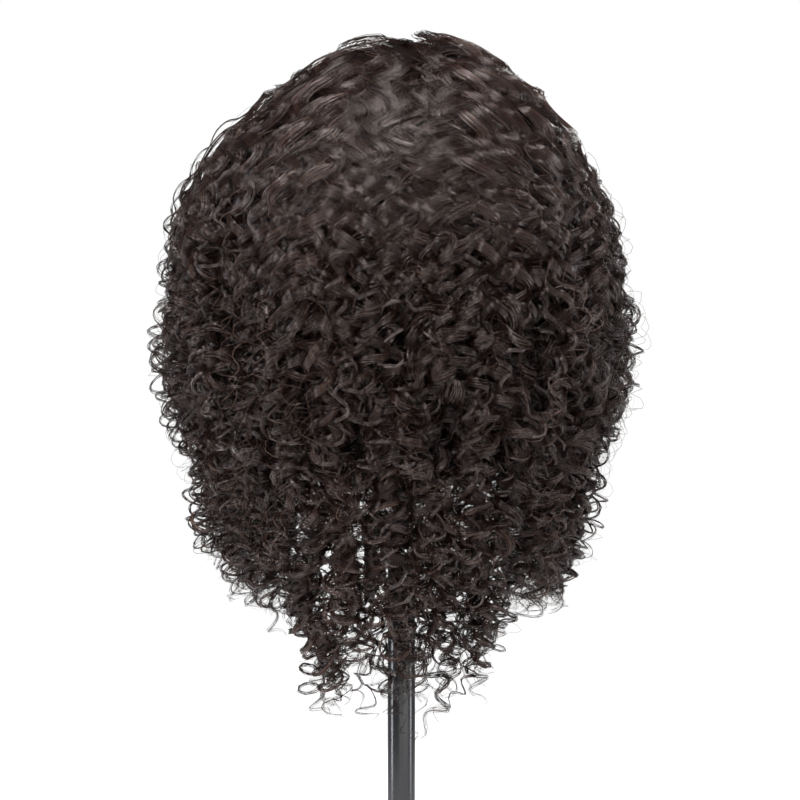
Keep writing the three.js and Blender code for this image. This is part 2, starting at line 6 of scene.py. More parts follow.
import bmesh
import bpy
import numpy as np
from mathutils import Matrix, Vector


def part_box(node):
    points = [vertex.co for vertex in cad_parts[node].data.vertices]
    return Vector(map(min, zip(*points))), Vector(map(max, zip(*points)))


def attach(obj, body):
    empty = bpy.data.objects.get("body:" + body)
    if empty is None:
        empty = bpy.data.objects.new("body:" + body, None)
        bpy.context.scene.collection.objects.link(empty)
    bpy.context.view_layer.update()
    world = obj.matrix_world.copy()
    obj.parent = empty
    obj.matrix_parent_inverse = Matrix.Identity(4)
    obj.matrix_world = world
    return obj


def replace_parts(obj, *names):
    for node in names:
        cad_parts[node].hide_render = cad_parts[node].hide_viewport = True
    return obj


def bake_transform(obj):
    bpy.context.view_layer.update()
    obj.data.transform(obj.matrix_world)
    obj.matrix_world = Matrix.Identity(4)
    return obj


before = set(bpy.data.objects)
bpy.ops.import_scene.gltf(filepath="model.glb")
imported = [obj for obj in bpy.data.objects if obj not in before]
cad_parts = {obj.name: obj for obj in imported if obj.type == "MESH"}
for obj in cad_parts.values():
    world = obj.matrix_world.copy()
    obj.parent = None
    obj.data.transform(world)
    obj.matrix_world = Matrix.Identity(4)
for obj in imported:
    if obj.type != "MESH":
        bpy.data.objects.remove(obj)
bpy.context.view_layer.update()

# ------------------------------------------------------------------ dimensions, in metres
HEAD_C = np.array([0.0, 0.0, 0.62])  # middle of the skull, level with the widest part of the hair

# The skull under the hair, from HEAD_C: half width, front, back, up.
SKULL = (0.079, 0.098, 0.099, 0.135)
NECK_R = 0.064  # room kept free round the neck and the column

# Outside of the hair above HEAD_C: half width on +X and on -X, front, back, up.
DOME = (0.167, 0.156, 0.119, 0.158, 0.157)
DOME_POWER = 1.68
TOP_SHIFT = -0.006  # the top of the hair leans a little towards -X
TOP_FROM_TO = (0.66, 0.76)  # heights between which that lean sets in
# Outside of the hair below HEAD_C: height, half width on +X and on -X, front, back.
FALL = np.array([
    (0.620, 0.167, 0.156, 0.119, 0.158),
    (0.560, 0.169, 0.163, 0.118, 0.160),
    (0.510, 0.168, 0.162, 0.114, 0.157),
    (0.460, 0.148, 0.138, 0.108, 0.148),
    (0.400, 0.138, 0.126, 0.100, 0.138),
    (0.350, 0.118, 0.108, 0.088, 0.122),
    (0.300, 0.090, 0.080, 0.074, 0.104),
])


def smooth(x, low, high):
    """0 below low, 1 above high, and an S between."""
    t = np.clip((np.asarray(x, float) - low) / (high - low), 0, 1)
    return t * t * (3 - 2 * t)


# How far from the vertex, along the hair, locks fall out of step and flat waves become coils.
MESS_FROM_TO = (0.15, 0.33)
COIL_FROM_TO = (0.17, 0.30)
# Further down still, locks draw together in bunches and leave gaps between them.
BUNCH_FROM_TO = (0.26, 0.42)
BUNCHES = 28
BUNCH_PULL = 0.88  # share of the way to the middle of its bunch that a lock moves
TIGHTEN = 2.2  # growth of the turns per metre of hair


# ------------------------------------------------------------------ materials
SHEEN_TINT = (1.0, 0.87, 0.83, 1.0)  # of the highlights on hair


def nodes_of(name):
    material = bpy.data.materials.new(name)
    material.use_nodes = True
    tree = material.node_tree
    return material, tree, tree.nodes["Principled BSDF"]


def plain(name, color, roughness):
    material, tree, bsdf = nodes_of(name)
    bsdf.inputs["Base Color"].default_value = (*color, 1)
    bsdf.inputs["Roughness"].default_value = roughness
    return material, tree, bsdf


def fibre(name, color, roughness, gloss=(0.3, 1.0)):
    """Hair fibre: one even colour, with highlights that come and go along the locks."""
    material, tree, bsdf = plain(name, color, roughness)
    bsdf.inputs["Specular Tint"].default_value = SHEEN_TINT
    shine = ramp(tree, noise(tree, 70, 2.0), *gloss, 0.35, 0.65)
    tree.links.new(shine, bsdf.inputs["Specular IOR Level"])
    return material


def noise(tree, scale, detail=3.0, stretch=(1, 1, 1)):
    """Noise in the piece's own space, scale being its cells per metre."""
    where = tree.nodes.new("ShaderNodeTexCoord")
    squeeze = tree.nodes.new("ShaderNodeMapping")
    squeeze.inputs["Scale"].default_value = stretch
    pattern = tree.nodes.new("ShaderNodeTexNoise")
    pattern.inputs["Scale"].default_value = scale
    pattern.inputs["Detail"].default_value = detail
    tree.links.new(where.outputs["Object"], squeeze.inputs["Vector"])
    tree.links.new(squeeze.outputs["Vector"], pattern.inputs["Vector"])
    return pattern.outputs["Fac"]


def ramp(tree, value, low, high, start=0.3, stop=0.7):
    """Maps a value to the range low..high, both colours or both numbers."""
    scale = tree.nodes.new("ShaderNodeMapRange" if np.ndim(low) == 0 else "ShaderNodeValToRGB")
    if np.ndim(low) == 0:
        tree.links.new(value, scale.inputs["Value"])
        scale.inputs["From Min"].default_value = start
        scale.inputs["From Max"].default_value = stop
        scale.inputs["To Min"].default_value = low
        scale.inputs["To Max"].default_value = high
        return scale.outputs["Result"]
    tree.links.new(value, scale.inputs["Fac"])
    first, second = scale.color_ramp.elements
    first.position, first.color = start, (*low, 1)
    second.position, second.color = stop, (*high, 1)
    return scale.outputs["Color"]


def bump(tree, bsdf, height, strength, distance):
    relief = tree.nodes.new("ShaderNodeBump")
    relief.inputs["Strength"].default_value = strength
    relief.inputs["Distance"].default_value = distance
    tree.links.new(height, relief.inputs["Height"])
    tree.links.new(relief.outputs["Normal"], bsdf.inputs["Normal"])


def textured(name, dark, light, rough, grain, depth, metallic=0.0, patches=18,
             stretch=(1, 1, 1), detail=3.0):
    """Clouds from dark to light, patches per metre, with a grain of its own cells per metre and depth."""
    material, tree, bsdf = nodes_of(name)
    cloud = noise(tree, patches, 4.0)
    tree.links.new(ramp(tree, cloud, dark, light), bsdf.inputs["Base Color"])
    fine = noise(tree, grain, detail, stretch)
    tree.links.new(ramp(tree, fine, *rough), bsdf.inputs["Roughness"])
    bump(tree, bsdf, fine, 0.5, depth)
    bsdf.inputs["Metallic"].default_value = metallic
    return material


def satin_paint():
    return textured("satin_black_paint", (0.0075, 0.0077, 0.0090), (0.0110, 0.0112, 0.0130),
                    rough=(0.23, 0.27), grain=120, depth=0.0000002, patches=40, detail=0.0)


def powder_coat():
    return textured("black_powder_coat", (0.010, 0.010, 0.011), (0.018, 0.018, 0.019),
                    rough=(0.42, 0.60), grain=1400, depth=0.00006)


def moulded_plastic():
    return textured("black_plastic", (0.012, 0.012, 0.013), (0.020, 0.020, 0.021),
                    rough=(0.38, 0.52), grain=2200, depth=0.00003)


def rubber():
    return textured("black_rubber", (0.008, 0.008, 0.008), (0.020, 0.019, 0.018),
                    rough=(0.70, 0.92), grain=1200, depth=0.00005, patches=60)


def zinc_steel():
    return textured("zinc_steel", (0.42, 0.42, 0.41), (0.60, 0.60, 0.58),
                    rough=(0.22, 0.42), grain=1500, depth=0.00001, metallic=1.0, patches=120)


def natural_nylon():
    return textured("natural_nylon", (0.66, 0.63, 0.55), (0.78, 0.75, 0.68),
                    rough=(0.34, 0.46), grain=800, depth=0.00001)


def pressed_fibre():
    return textured("brown_fibre", (0.10, 0.045, 0.018), (0.26, 0.13, 0.060), rough=(0.65, 0.90),
                    grain=1600, depth=0.00008, patches=500, stretch=(0.3, 1, 1), detail=6.0)


def rigid_foam():
    """Pale foam: small open cells, with painted shade darkening their hollows."""
    material, tree, bsdf = nodes_of("rigid_foam")
    where = tree.nodes.new("ShaderNodeTexCoord")
    cells = tree.nodes.new("ShaderNodeTexVoronoi")
    cells.inputs["Scale"].default_value = 700
    tree.links.new(where.outputs["Object"], cells.inputs["Vector"])
    # Darker towards each cell's middle, the low point of the bump: painted shade in the hollows.
    color = ramp(tree, cells.outputs["Distance"], (0.45, 0.38, 0.22), (0.75, 0.68, 0.48), 0.1, 0.6)
    tree.links.new(color, bsdf.inputs["Base Color"])
    bump(tree, bsdf, cells.outputs["Distance"], 0.6, 0.0004)
    bsdf.inputs["Roughness"].default_value = 0.95
    return material


def vinyl_skin():
    """Soft matt vinyl: faint blotches, fine pores, and lips tinted where the mesh says so."""
    material, tree, bsdf = nodes_of("vinyl_skin")
    add, link = tree.nodes.new, tree.links.new
    blotch = ramp(tree, noise(tree, 32, 5.0), (0.520, 0.290, 0.195), (0.600, 0.355, 0.245))
    lips = add("ShaderNodeAttribute")
    lips.attribute_name = "lips"
    tint = add("ShaderNodeMix")
    tint.data_type = "RGBA"
    tint.inputs["B"].default_value = (0.360, 0.105, 0.090, 1)
    link(blotch, tint.inputs["A"])
    link(lips.outputs["Fac"], tint.inputs["Factor"])
    link(tint.outputs["Result"], bsdf.inputs["Base Color"])
    pores = noise(tree, 2600, 2.0)
    link(ramp(tree, pores, 0.40, 0.54), bsdf.inputs["Roughness"])
    bump(tree, bsdf, pores, 0.35, 0.00003)
    return material


IRIS_R = 0.0060


def glass_eye():
    """Sclera, ringed iris with streaks, and pupil, by the distance from the eye's axis."""
    material, tree, bsdf = nodes_of("glass_eye")
    add, link = tree.nodes.new, tree.links.new
    where = add("ShaderNodeTexCoord")
    split = add("ShaderNodeSeparateXYZ")
    link(where.outputs["Object"], split.inputs["Vector"])

    def math_node(operation, a, b=None):
        node = add("ShaderNodeMath")
        node.operation = operation
        for socket, value in zip(node.inputs, (a, b)):
            if isinstance(value, (int, float)):
                socket.default_value = value
            elif value is not None:
                link(value, socket)
        return node.outputs["Value"]

    x2 = math_node("MULTIPLY", split.outputs["X"], split.outputs["X"])
    z2 = math_node("MULTIPLY", split.outputs["Z"], split.outputs["Z"])
    radius = math_node("SQRT", math_node("ADD", x2, z2))
    behind = math_node("GREATER_THAN", split.outputs["Y"], 0.0)
    radius = math_node("ADD", radius, behind)
    streaks = noise(tree, 1500, 4.0, (1, 0.1, 1))
    radius = math_node("ADD", radius, math_node("MULTIPLY", math_node("SUBTRACT", streaks, 0.5), 0.0007))
    share = math_node("DIVIDE", radius, IRIS_R)
    bands = add("ShaderNodeValToRGB")
    link(math_node("MULTIPLY", share, 0.5), bands.inputs["Fac"])
    stops = [(0.0, (0.003, 0.002, 0.002)), (0.165, (0.003, 0.002, 0.002)), (0.195, (0.105, 0.048, 0.018)),
             (0.36, (0.060, 0.026, 0.011)), (0.455, (0.012, 0.006, 0.004)), (0.49, (0.16, 0.13, 0.11)),
             (0.53, (0.72, 0.68, 0.63)), (1.0, (0.78, 0.73, 0.67))]
    elements = bands.color_ramp.elements
    while len(elements) < len(stops):
        elements.new(0.5)
    for element, (position, color) in zip(elements, stops):
        element.position, element.color = position, (*color, 1)
    link(bands.outputs["Color"], bsdf.inputs["Base Color"])
    bsdf.inputs["Roughness"].default_value = 0.12
    bsdf.inputs["Coat Weight"].default_value = 1.0
    bsdf.inputs["Coat Roughness"].default_value = 0.03
    return material


SKIN = vinyl_skin()
EYE_LOOK = glass_eye()
FOAM = rigid_foam()
LASH = fibre("lash_fibre", (0.010, 0.006, 0.005), 0.45)

# CAD node name starts, and the finish of each.
FINISHES = [
    (("base_pad", "foot_", "socket_sleeve"), rubber),
    (("leg_hub", "tilt_clevis", "tilt_arm"), powder_coat),
    (("outer_tube", "inner_tube", "leg_1", "leg_2", "leg_3"), satin_paint),
    (("height_collar", "height_knob", "tilt_lever", "neck_plug", "peg"), moulded_plastic),
    (("hub_screw", "leg_pin_", "pivot_bolt", "peg_screw", "plug_screw_"), zinc_steel),
    (("guide_bush", "clamp_shoe"), natural_nylon),
    (("friction_washer_",), pressed_fibre),
]


EDGE_ROUND = 0.0005  # width of the softened edges of the stand's parts
SHARP_FROM = math.radians(35)
FLAT_WITHIN = math.radians(0.5)  # triangles of one flat face differ by less than this
WELD_WITHIN = 0.00001


def smooth_by_angle():
    """A node group that shades smooth, except over sharp edges."""
    group = bpy.data.node_groups.new("smooth_by_angle", "GeometryNodeTree")
    add, link = group.nodes.new, group.links.new
    group.interface.new_socket("Geometry", in_out="INPUT", socket_type="NodeSocketGeometry")
    group.interface.new_socket("Geometry", in_out="OUTPUT", socket_type="NodeSocketGeometry")
    start = add("NodeGroupInput")
    end = add("NodeGroupOutput")
    faces = add("GeometryNodeSetShadeSmooth")
    edges = add("GeometryNodeSetShadeSmooth")
    edges.domain = "EDGE"
    edges.inputs["Shade Smooth"].default_value = False
    angle = add("GeometryNodeInputMeshEdgeAngle")
    sharp = add("FunctionNodeCompare")
    sharp.operation = "GREATER_THAN"
    sharp.inputs["B"].default_value = SHARP_FROM
    link(angle.outputs["Unsigned Angle"], sharp.inputs["A"])
    link(start.outputs["Geometry"], faces.inputs["Geometry"])
    link(faces.outputs["Geometry"], edges.inputs["Geometry"])
    link(sharp.outputs["Result"], edges.inputs["Selection"])
    link(edges.outputs["Geometry"], end.inputs["Geometry"])
    return group


def finish_stand():
    """Gives every CAD node that stays in view its material, softened edges and smooth round sides."""
    shade = smooth_by_angle()
    for starts, make in FINISHES:
        material = make()
        for name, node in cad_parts.items():
            exact = any(name == s for s in starts)
            family = any(s.endswith("_") and name.startswith(s) for s in starts)
            if not (exact or family):
                continue
            node.data.materials.clear()
            node.data.materials.append(material)
            node.modifiers.new("weld", "WELD").merge_threshold = WELD_WITHIN
            flat = node.modifiers.new("flat_faces", "DECIMATE")
            flat.decimate_type = "DISSOLVE"
            flat.angle_limit = FLAT_WITHIN
            edge = node.modifiers.new("soft_edges", "BEVEL")
            edge.width = EDGE_ROUND
            edge.segments = 2
            edge.limit_method = "ANGLE"
            edge.angle_limit = SHARP_FROM
            node.modifiers.new("shade", "NODES").node_group = shade


def new_object(name, data):
    made = bpy.data.objects.new(name, data)
    bpy.context.collection.objects.link(made)
    return made


def ring_faces(rows, columns):
    """Faces of a closed form: a first pole, rows of points all round, and a last pole."""
    j = np.arange(columns)
    k = (j + 1) % columns
    first = np.stack([np.zeros(columns, int), 1 + j, 1 + k], -1)
    faces = [tuple(f) for f in first]
    for r in range(rows - 1):
        a, b = 1 + r * columns, 1 + (r + 1) * columns
        faces += [tuple(f) for f in np.stack([a + j, b + j, b + k, a + k], -1)]
    last = 1 + (rows - 1) * columns
    end = np.full(columns, 1 + rows * columns)
    return faces + [tuple(f) for f in np.stack([last + k, last + j, end], -1)]


def new_piece(name, points, faces, material):
    mesh = bpy.data.meshes.new(name)
    mesh.from_pydata([tuple(p) for p in points], [], [tuple(int(i) for i in f) for f in faces])
    mesh.polygons.foreach_set("use_smooth", np.ones(len(mesh.polygons), bool))
    mesh.materials.append(material)
    bm = bmesh.new()
    bm.from_mesh(mesh)
    bmesh.ops.recalc_face_normals(bm, faces=bm.faces)
    bm.to_mesh(mesh)
    bm.free()
    piece = new_object(name, mesh)
    return piece


def tube_mesh(name, p, a, b, r, corners, materials, index=0):
    """Closed tubes of radius r round the lines p, a and b being the axes of the cross-section.

    corners are the angles of its corners. index gives the material of each face: first of the
    sides of all tubes, then of their first ends and of their last ends.
    """
    m, samples, _ = p.shape
    n = len(corners)
    ring = [p + (a * np.cos(c) + b * np.sin(c)) * r[..., None] for c in corners]
    verts = np.stack(ring, 2).reshape(-1, 3)
    first = np.arange(m)[:, None] * samples * n + np.arange(n)
    last = first[:, ::-1] + (samples - 1) * n
    i = np.arange(samples - 1)[None, :, None] * n + np.arange(m)[:, None, None] * samples * n
    k = np.arange(n)[None, None, :]
    k2 = (k + 1) % n
    quads = np.stack([i + k, i + k + n, i + k2 + n, i + k2], -1).reshape(-1, 4)
    loops = np.concatenate([quads.ravel(), first.ravel(), last.ravel()])
    sizes = np.repeat([4, n], [len(quads), 2 * m])
    mesh = bpy.data.meshes.new(name)
    mesh.vertices.add(len(verts))
    mesh.vertices.foreach_set("co", verts.astype(np.float32).ravel())
    mesh.loops.add(len(loops))
    mesh.loops.foreach_set("vertex_index", loops.astype(np.int32))
    mesh.polygons.add(len(sizes))
    mesh.polygons.foreach_set("loop_start", (np.cumsum(sizes) - sizes).astype(np.int32))
    mesh.polygons.foreach_set("use_smooth", np.ones(len(sizes), bool))
    for material in materials:
        mesh.materials.append(material)
    faces = np.broadcast_to(index, len(sizes)).astype(np.int32)
    mesh.polygons.foreach_set("material_index", faces)
    mesh.update(calc_edges=True)
    mesh.validate()
    return new_object(name, mesh)


# Shades of the strands, from dark to light: the darker ones serve as painted shade for locks lying deep
# in the hair, the lighter ones as painted light on the thin ends and for stray hairs.
SHADES = [
    (0.0030, 0.0013, 0.0010),
    (0.0052, 0.0023, 0.0018),
    (0.0098, 0.0047, 0.0036),
    (0.0178, 0.0087, 0.0066),
    (0.0310, 0.0158, 0.0117),
    (0.0760, 0.0420, 0.0290),
    (0.2100, 0.1350, 0.0880),
]
HAIR = [fibre(f"hair_{i}", color, 0.25) for i, color in enumerate(SHADES)]
# Near-black, dull fibre for the root mass: the hair's own dark colour deepened as painted shade under the
# curls.
ROOTS_AND_SHADE = fibre("hair_roots_and_shade", (0.0026, 0.0013, 0.0010), 0.9, (0.0, 0.1))


# ------------------------------------------------------------------ hair: guide curves
ARC = 0.150  # mean radius of the dome, to turn angles down from the vertex into lengths


def radius_at(angle, plus_x, minus_x, front, back, power=2.0):
    """Distance from the vertical axis to an oval, at an angle counted from +X towards +Y."""
    c, s = np.cos(angle), np.sin(angle)
    a = np.where(c > 0, plus_x, minus_x)
    b = np.where(s < 0, front, back)
    return (np.abs(c / a) ** power + np.abs(s / b) ** power) ** (-1 / power)


def dome_radius(angle, psi, oval, up, power):
    """Distance from HEAD_C to a dome, psi being the angle down from +Z."""
    flat = radius_at(angle, *oval)
    return ((np.sin(psi) / flat) ** power + (np.cos(psi) / up) ** power) ** (-1 / power)


def fall_radius(angle, z):
    columns = [np.interp(z, FALL[::-1, 0], FALL[::-1, k]) for k in range(1, 5)]
    return radius_at(angle, *columns)


def waves(s, group, lengths, sizes, draw):
    """Slow random drift along the lengths s: a sum of sines, the same for guides of one group."""
    count = int(group.max()) + 1
    out = np.zeros_like(s)
    for length, size in zip(lengths, sizes):
        phase = draw.uniform(0, 2 * np.pi, (count, 1))[group]
        stretch = draw.uniform(0.75, 1.3, (count, 1))[group]
        out += size * np.sin(phase + s * 2 * np.pi / (length * stretch))
    return out


def unit(v):
    return v / np.maximum(np.linalg.norm(v, axis=-1, keepdims=True), 1e-9)


SWEEP = 0.40  # how far towards the face the vertex lies that the hair spreads from


def swept(angle, tilt):
    """Directions over the dome: from a vertex nearer the face, back to angle and tilt at its rim."""
    ahead = SWEEP * np.cos(tilt) ** 2
    x = np.sin(tilt) * np.cos(angle)
    y = np.sin(tilt) * np.sin(angle) - ahead
    return np.arctan2(y, x), np.arctan2(np.hypot(x, y), np.cos(tilt))


FACE_HALF = np.radians(54)  # half of the opening that the hair leaves round the face
PARTED_HALF = np.radians(100)  # half of the sector whose hair is pushed aside to make it
PART_FROM = np.radians(32)  # tilt at which it starts to turn aside
PART_OVER = np.radians(48)  # tilt that the turn takes


def from_front(angle):
    """The angle to the direction of the face, from -pi to pi."""
    front = -np.pi / 2
    return (angle - front + np.pi) % (2 * np.pi) - np.pi


def part_hair(angle, tilt):
    """Turns guides that start over the face to fall beside it, tilt being the angle down from +Z."""
    away = from_front(angle)
    side = np.where(away >= 0, 1.0, -1.0)
    wanted = side * (FACE_HALF + np.abs(away) * (1 - FACE_HALF / PARTED_HALF))
    moved = np.where(np.abs(away) < PARTED_HALF, wanted - away, 0.0)
    start = np.maximum(np.asarray(tilt)[..., :1], PART_FROM)
    turn = smooth((tilt - start) / PART_OVER, 0.0, 1.0)
    return angle + moved * turn


def hair_room(turned, tilt, z, in_dome):
    """Distances of the scalp and of the outside of the hair, over the dome or round the fall."""
    oval = (SKULL[0], SKULL[0], SKULL[1], SKULL[2])
    inner_dome = dome_radius(turned, tilt, oval, SKULL[3], 2.2) + 0.003
    outer_dome = dome_radius(turned, tilt, DOME[:4], DOME[4], DOME_POWER)
    nape = radius_at(turned, *oval) * (1 - smooth(HEAD_C[2] - z, 0.0, 0.09) * 0.3)
    inner = np.where(in_dome, inner_dome, np.maximum(nape, NECK_R))
    outer = np.where(in_dome, outer_dome, fall_radius(turned, z))
    return inner, outer


def over_head(r, turned, tilt, z, in_dome):
    """Points at the distance r: over the dome from HEAD_C, or below it round the vertical axis."""
    ring = np.where(in_dome, r * np.sin(tilt), r)
    height = np.where(in_dome, HEAD_C[2] + r * np.cos(tilt), z)
    return np.stack([ring * np.cos(turned), ring * np.sin(turned), height], -1)


def set_frame(lock, points, outward):
    """Adds points to the lock, with the direction out of the hair and the sideways one at each."""
    along = unit(np.gradient(points, axis=1))
    lock.points = points
    lock.normal = unit(outward - along * np.sum(outward * along, -1, keepdims=True))
    lock.side = np.cross(along, lock.normal)


RISE_OVER = (-0.03, 0.08)  # distances from the root between which a lock rises to its own layer
DRIFT_FROM_TO = (0.02, 0.14)  # distances from the root between which locks start to wander


def guides(lock, samples):
    """Centre lines of locks: from the scalp over the dome, then hanging down to their ends.

    Adds the distances from the root (d) and from the vertex (s) too. Turns get tighter further
    down, so the samples are spaced evenly over the turns.
    """
    psi = lock.psi[:, None]
    over = (np.pi / 2 - psi) * ARC
    total = over + HEAD_C[2] - lock.z_end[:, None]
    turns = np.linspace(0, 1, samples)[None, :] * (total + TIGHTEN * total ** 2)
    d = (np.sqrt(1 + 4 * TIGHTEN * turns) - 1) / (2 * TIGHTEN)
    lock.d = d
    lock.s = psi * ARC + d
    lock.mess = smooth(lock.s, *MESS_FROM_TO)
    tilt_free = psi + d / ARC
    z = HEAD_C[2] - np.maximum(d - over, 0)
    in_dome = d < over
    turned = part_hair(lock.angle[:, None], tilt_free)
    slice_angle = 2 * np.pi / BUNCHES
    lock.bunch = (lock.angle / slice_angle).astype(int) % BUNCHES
    to_bunch = (lock.bunch + 0.5) * slice_angle - lock.angle
    turned = turned + (to_bunch * BUNCH_PULL)[:, None] * smooth(lock.s, *BUNCH_FROM_TO)
    turned, tilt = swept(turned, np.minimum(tilt_free, np.pi / 2))
    inner, outer = hair_room(turned, tilt, z, in_dome)
    share = lock.out[:, None] * smooth(d, *RISE_OVER)
    points = over_head(inner + (outer - inner) * share, turned, tilt, z, in_dome)
    points[..., 0] += TOP_SHIFT * smooth(points[..., 2], *TOP_FROM_TO)
    core = np.stack([np.zeros_like(z), np.zeros_like(z), np.minimum(z, HEAD_C[2])], -1)
    set_frame(lock, points, points - core)
    wander(lock)


def wander(lock):
    """Lets guides drift: in step by sector near the crown, by bunch and alone further down."""
    own = np.arange(len(lock.psi))
    grow = smooth(lock.d, *DRIFT_FROM_TO)
    shared = waves(lock.s, lock.sector, (0.12, 0.20), (0.5, 0.6), lock.rng)
    together = waves(lock.s, lock.bunch, (0.07, 0.12, 0.19), (0.3, 0.45, 0.5), lock.rng)
    alone = waves(lock.d, own, (0.07, 0.12, 0.19), (0.30, 0.35, 0.35), lock.rng) + together
    depth = waves(lock.d, own, (0.08, 0.15), (0.4, 0.35), lock.rng)
    lateral = (0.4 * shared * (1 - lock.mess) + alone * lock.mess) * grow * lock.drift
    depth = depth * grow * lock.drift * (0.25 + 0.75 * lock.mess)
    points = lock.points + lock.side * lateral[..., None] + lock.normal * depth[..., None]
    set_frame(lock, points, lock.normal)


FLAT_DEPTH = 0.22  # depth of the flat S-waves, as a share of a full coil's
CROWN_SWELL = 0.35  # how much wider the waves are near the crown


def curl(lock):
    """Winds guides into ringlets. Near the scalp they are flat S-waves, further down full coils.

    Locks of one sector wave in step near the crown, and fall out of step further down.
    """
    n = len(lock.psi)
    draw = lock.rng
    own = np.arange(n)
    coil = smooth(lock.s, *COIL_FROM_TO)
    near_end = smooth(lock.d.max(1, keepdims=True) - lock.d, -0.02, 0.045)
    wobble = waves(lock.s, lock.sector, (0.09, 0.15), (0.0030, 0.0040), draw)
    wobble = wobble + waves(lock.s, own, (0.06, 0.11), (0.0022, 0.0030), draw) * lock.mess
    turns = (lock.s * (1 + TIGHTEN * lock.s) + wobble) / lock.pitch[:, None]
    slip = draw.normal(0, 2.2, (BUNCHES, 1))[lock.bunch] + draw.normal(0, 0.9, (n, 1))
    phase = 2 * np.pi * turns + lock.phase[:, None] + slip * lock.mess
    size = lock.radius[:, None] * smooth(lock.d, -0.02, 0.03) * (0.75 + 0.25 * near_end)
    size = size * (1 + CROWN_SWELL * (1 - lock.mess))
    size = size * (1 + 0.22 * waves(lock.s, own, (0.06, 0.1), (0.6, 0.6), draw))
    lift = FLAT_DEPTH + (1 - FLAT_DEPTH) * coil
    around = np.cos(phase)[..., None] * lock.side * lock.hand[:, None, None]
    around = around + (np.sin(phase) * lift)[..., None] * lock.normal
    lock.line = lock.points + around * size[..., None]
    tangent = unit(np.gradient(lock.line, axis=1))
    facing = lock.normal * (1 - 0.85 * coil)[..., None] + around * coil[..., None]
    facing = unit(facing - tangent * np.sum(facing * tangent, -1, keepdims=True))
    lock.facing = facing
    lock.across = np.cross(tangent, facing)


# ------------------------------------------------------------------ hair: strands to meshes
FRIZZ = 0.00025  # small sideways unrest of single hairs
CALM = 0.70  # share of slack and frizz that is missing near the crown


def spread(lock, strands, width, slack):
    """Lays strands side by side across each wound line, like the hairs of one lock."""
    n, samples, _ = lock.line.shape
    draw = lock.rng
    place = np.linspace(-0.5, 0.5, strands)[None, :] if strands > 1 else np.zeros((1, 1))
    place = place + draw.uniform(-0.35, 0.35, (n, strands)) / strands
    raised = draw.uniform(-1, 1, (n, strands)) * 0.0009
    bowl = -0.9 * place ** 2
    length = 1 - draw.random((n, strands)) ** 2 * 0.09
    calm = CALM * (1 - lock.mess[..., None])
    index = np.linspace(0, 1, samples)[None, None, :] * length[..., None] * (samples - 1)
    low = np.minimum(index.astype(int), samples - 2)
    part = (index - low)[..., None]
    row = np.arange(n)[:, None, None]

    def pick(a):
        return a[row, low] * (1 - part) + a[row, low + 1] * part

    def swing(slowest, fastest):
        rate = draw.uniform(slowest, fastest, (n, strands, 1))
        shift = draw.uniform(0, 2 * np.pi, (n, strands, 1))
        return draw.normal(0, 1, (n, strands, 1)) * np.sin(t * rate + shift)

    p, f, a = pick(lock.line), pick(lock.facing), pick(lock.across)
    t = np.linspace(0, 1, samples)[None, None, :]
    fan = (1 + 0.6 * (1 - smooth(t, 0.12, 0.40))) * (0.5 + 0.5 * smooth(t, 0, 0.08))
    fan = fan * (1 - 0.55 * smooth(t, 0.45, 1.0))
    width = width[:, None, None]
    unrest = 1 - pick(calm)[..., 0]
    slack = slack * unrest * (1 - 0.75 * smooth(t, 0.4, 0.9))
    offset = place[..., None] * width * fan + swing(9, 22) * slack + swing(80, 150) * unrest * FRIZZ
    height = raised[..., None] + bowl[..., None] * width * fan + swing(9, 22) * slack
    p = p + a * offset[..., None] + f * height[..., None]
    flat = (n * strands, samples, 3)
    return p.reshape(flat), f.reshape(flat), a.reshape(flat)


MAX_TRIS = 190_000  # in one piece of hair


TIPS_FROM = 0.74  # share of a strand's length from which it has its tip's shade, lighter where a layer has tips: painted light through the thin ends


def strand_mesh(name, p, f, a, thick, shades, tip_shades):
    """Three-sided strands along the lines p, with f and a as the cross-section's axes."""
    samples = p.shape[1]
    taper = 1 - 0.6 * smooth(np.linspace(0, 1, samples), 0.90, 1.0)
    shade = np.repeat(shades[:, None], (samples - 1) * 3, 1)
    shade[:, int(samples * TIPS_FROM) * 3:] = tip_shades[:, None]
    index = np.concatenate([shade.ravel(), shades, tip_shades])
    corners = np.radians([90, 210, 330])
    return tube_mesh(name, p, a, f, thick[:, None] * taper, corners, HAIR, index)


def hang(piece):
    """Bakes the piece's placement into its mesh."""
    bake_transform(piece)


def hair_pieces(name, *strands):
    """Splits many strands into pieces of a size that exports whole."""
    p = strands[0]
    chunk = MAX_TRIS // ((p.shape[1] - 1) * 6 + 2)
    for k, start in enumerate(range(0, len(p), chunk)):
        piece = strand_mesh(f"{name}_{k + 1}", *(part[start:start + chunk] for part in strands))
        hang(piece)


# Heights of the lowest ends, from -X to +X: three tufts of ringlets with gaps between them.
END_X = (-0.16, -0.120, -0.095, -0.080, -0.060, -0.045, -0.032, -0.022, -0.005,
         0.012, 0.024, 0.034, 0.055, 0.072, 0.085, 0.095, 0.120, 0.140, 0.16)
END_Z = (0.445, 0.358, 0.352, 0.322, 0.292, 0.284, 0.362, 0.304, 0.264,
         0.274, 0.366, 0.304, 0.286, 0.282, 0.336, 0.350, 0.358, 0.390, 0.445)


def end_height(angle, out):
    """How low a lock reaches: the lengths are lowest behind the column and climb to the sides."""
    angle = part_hair(angle[:, None], np.array([[0.0, np.pi]]))[:, -1]
    x = np.cos(angle) * (NECK_R + (fall_radius(angle, np.full_like(angle, 0.4)) - NECK_R) * out)
    return np.interp(x, END_X, END_Z)


def crowd_back(turn):
    """Spreads locks round the head, turn being 0 to 1, and closer together at the back."""
    grid = np.linspace(0, 2 * np.pi, 721)
    density = 1 + 0.9 * np.exp(-((grid - np.pi / 2) / 0.75) ** 2)
    total = np.concatenate([[0], np.cumsum((density[1:] + density[:-1]) / 2)])
    return np.interp(turn % 1.0, total / total[-1], grid)


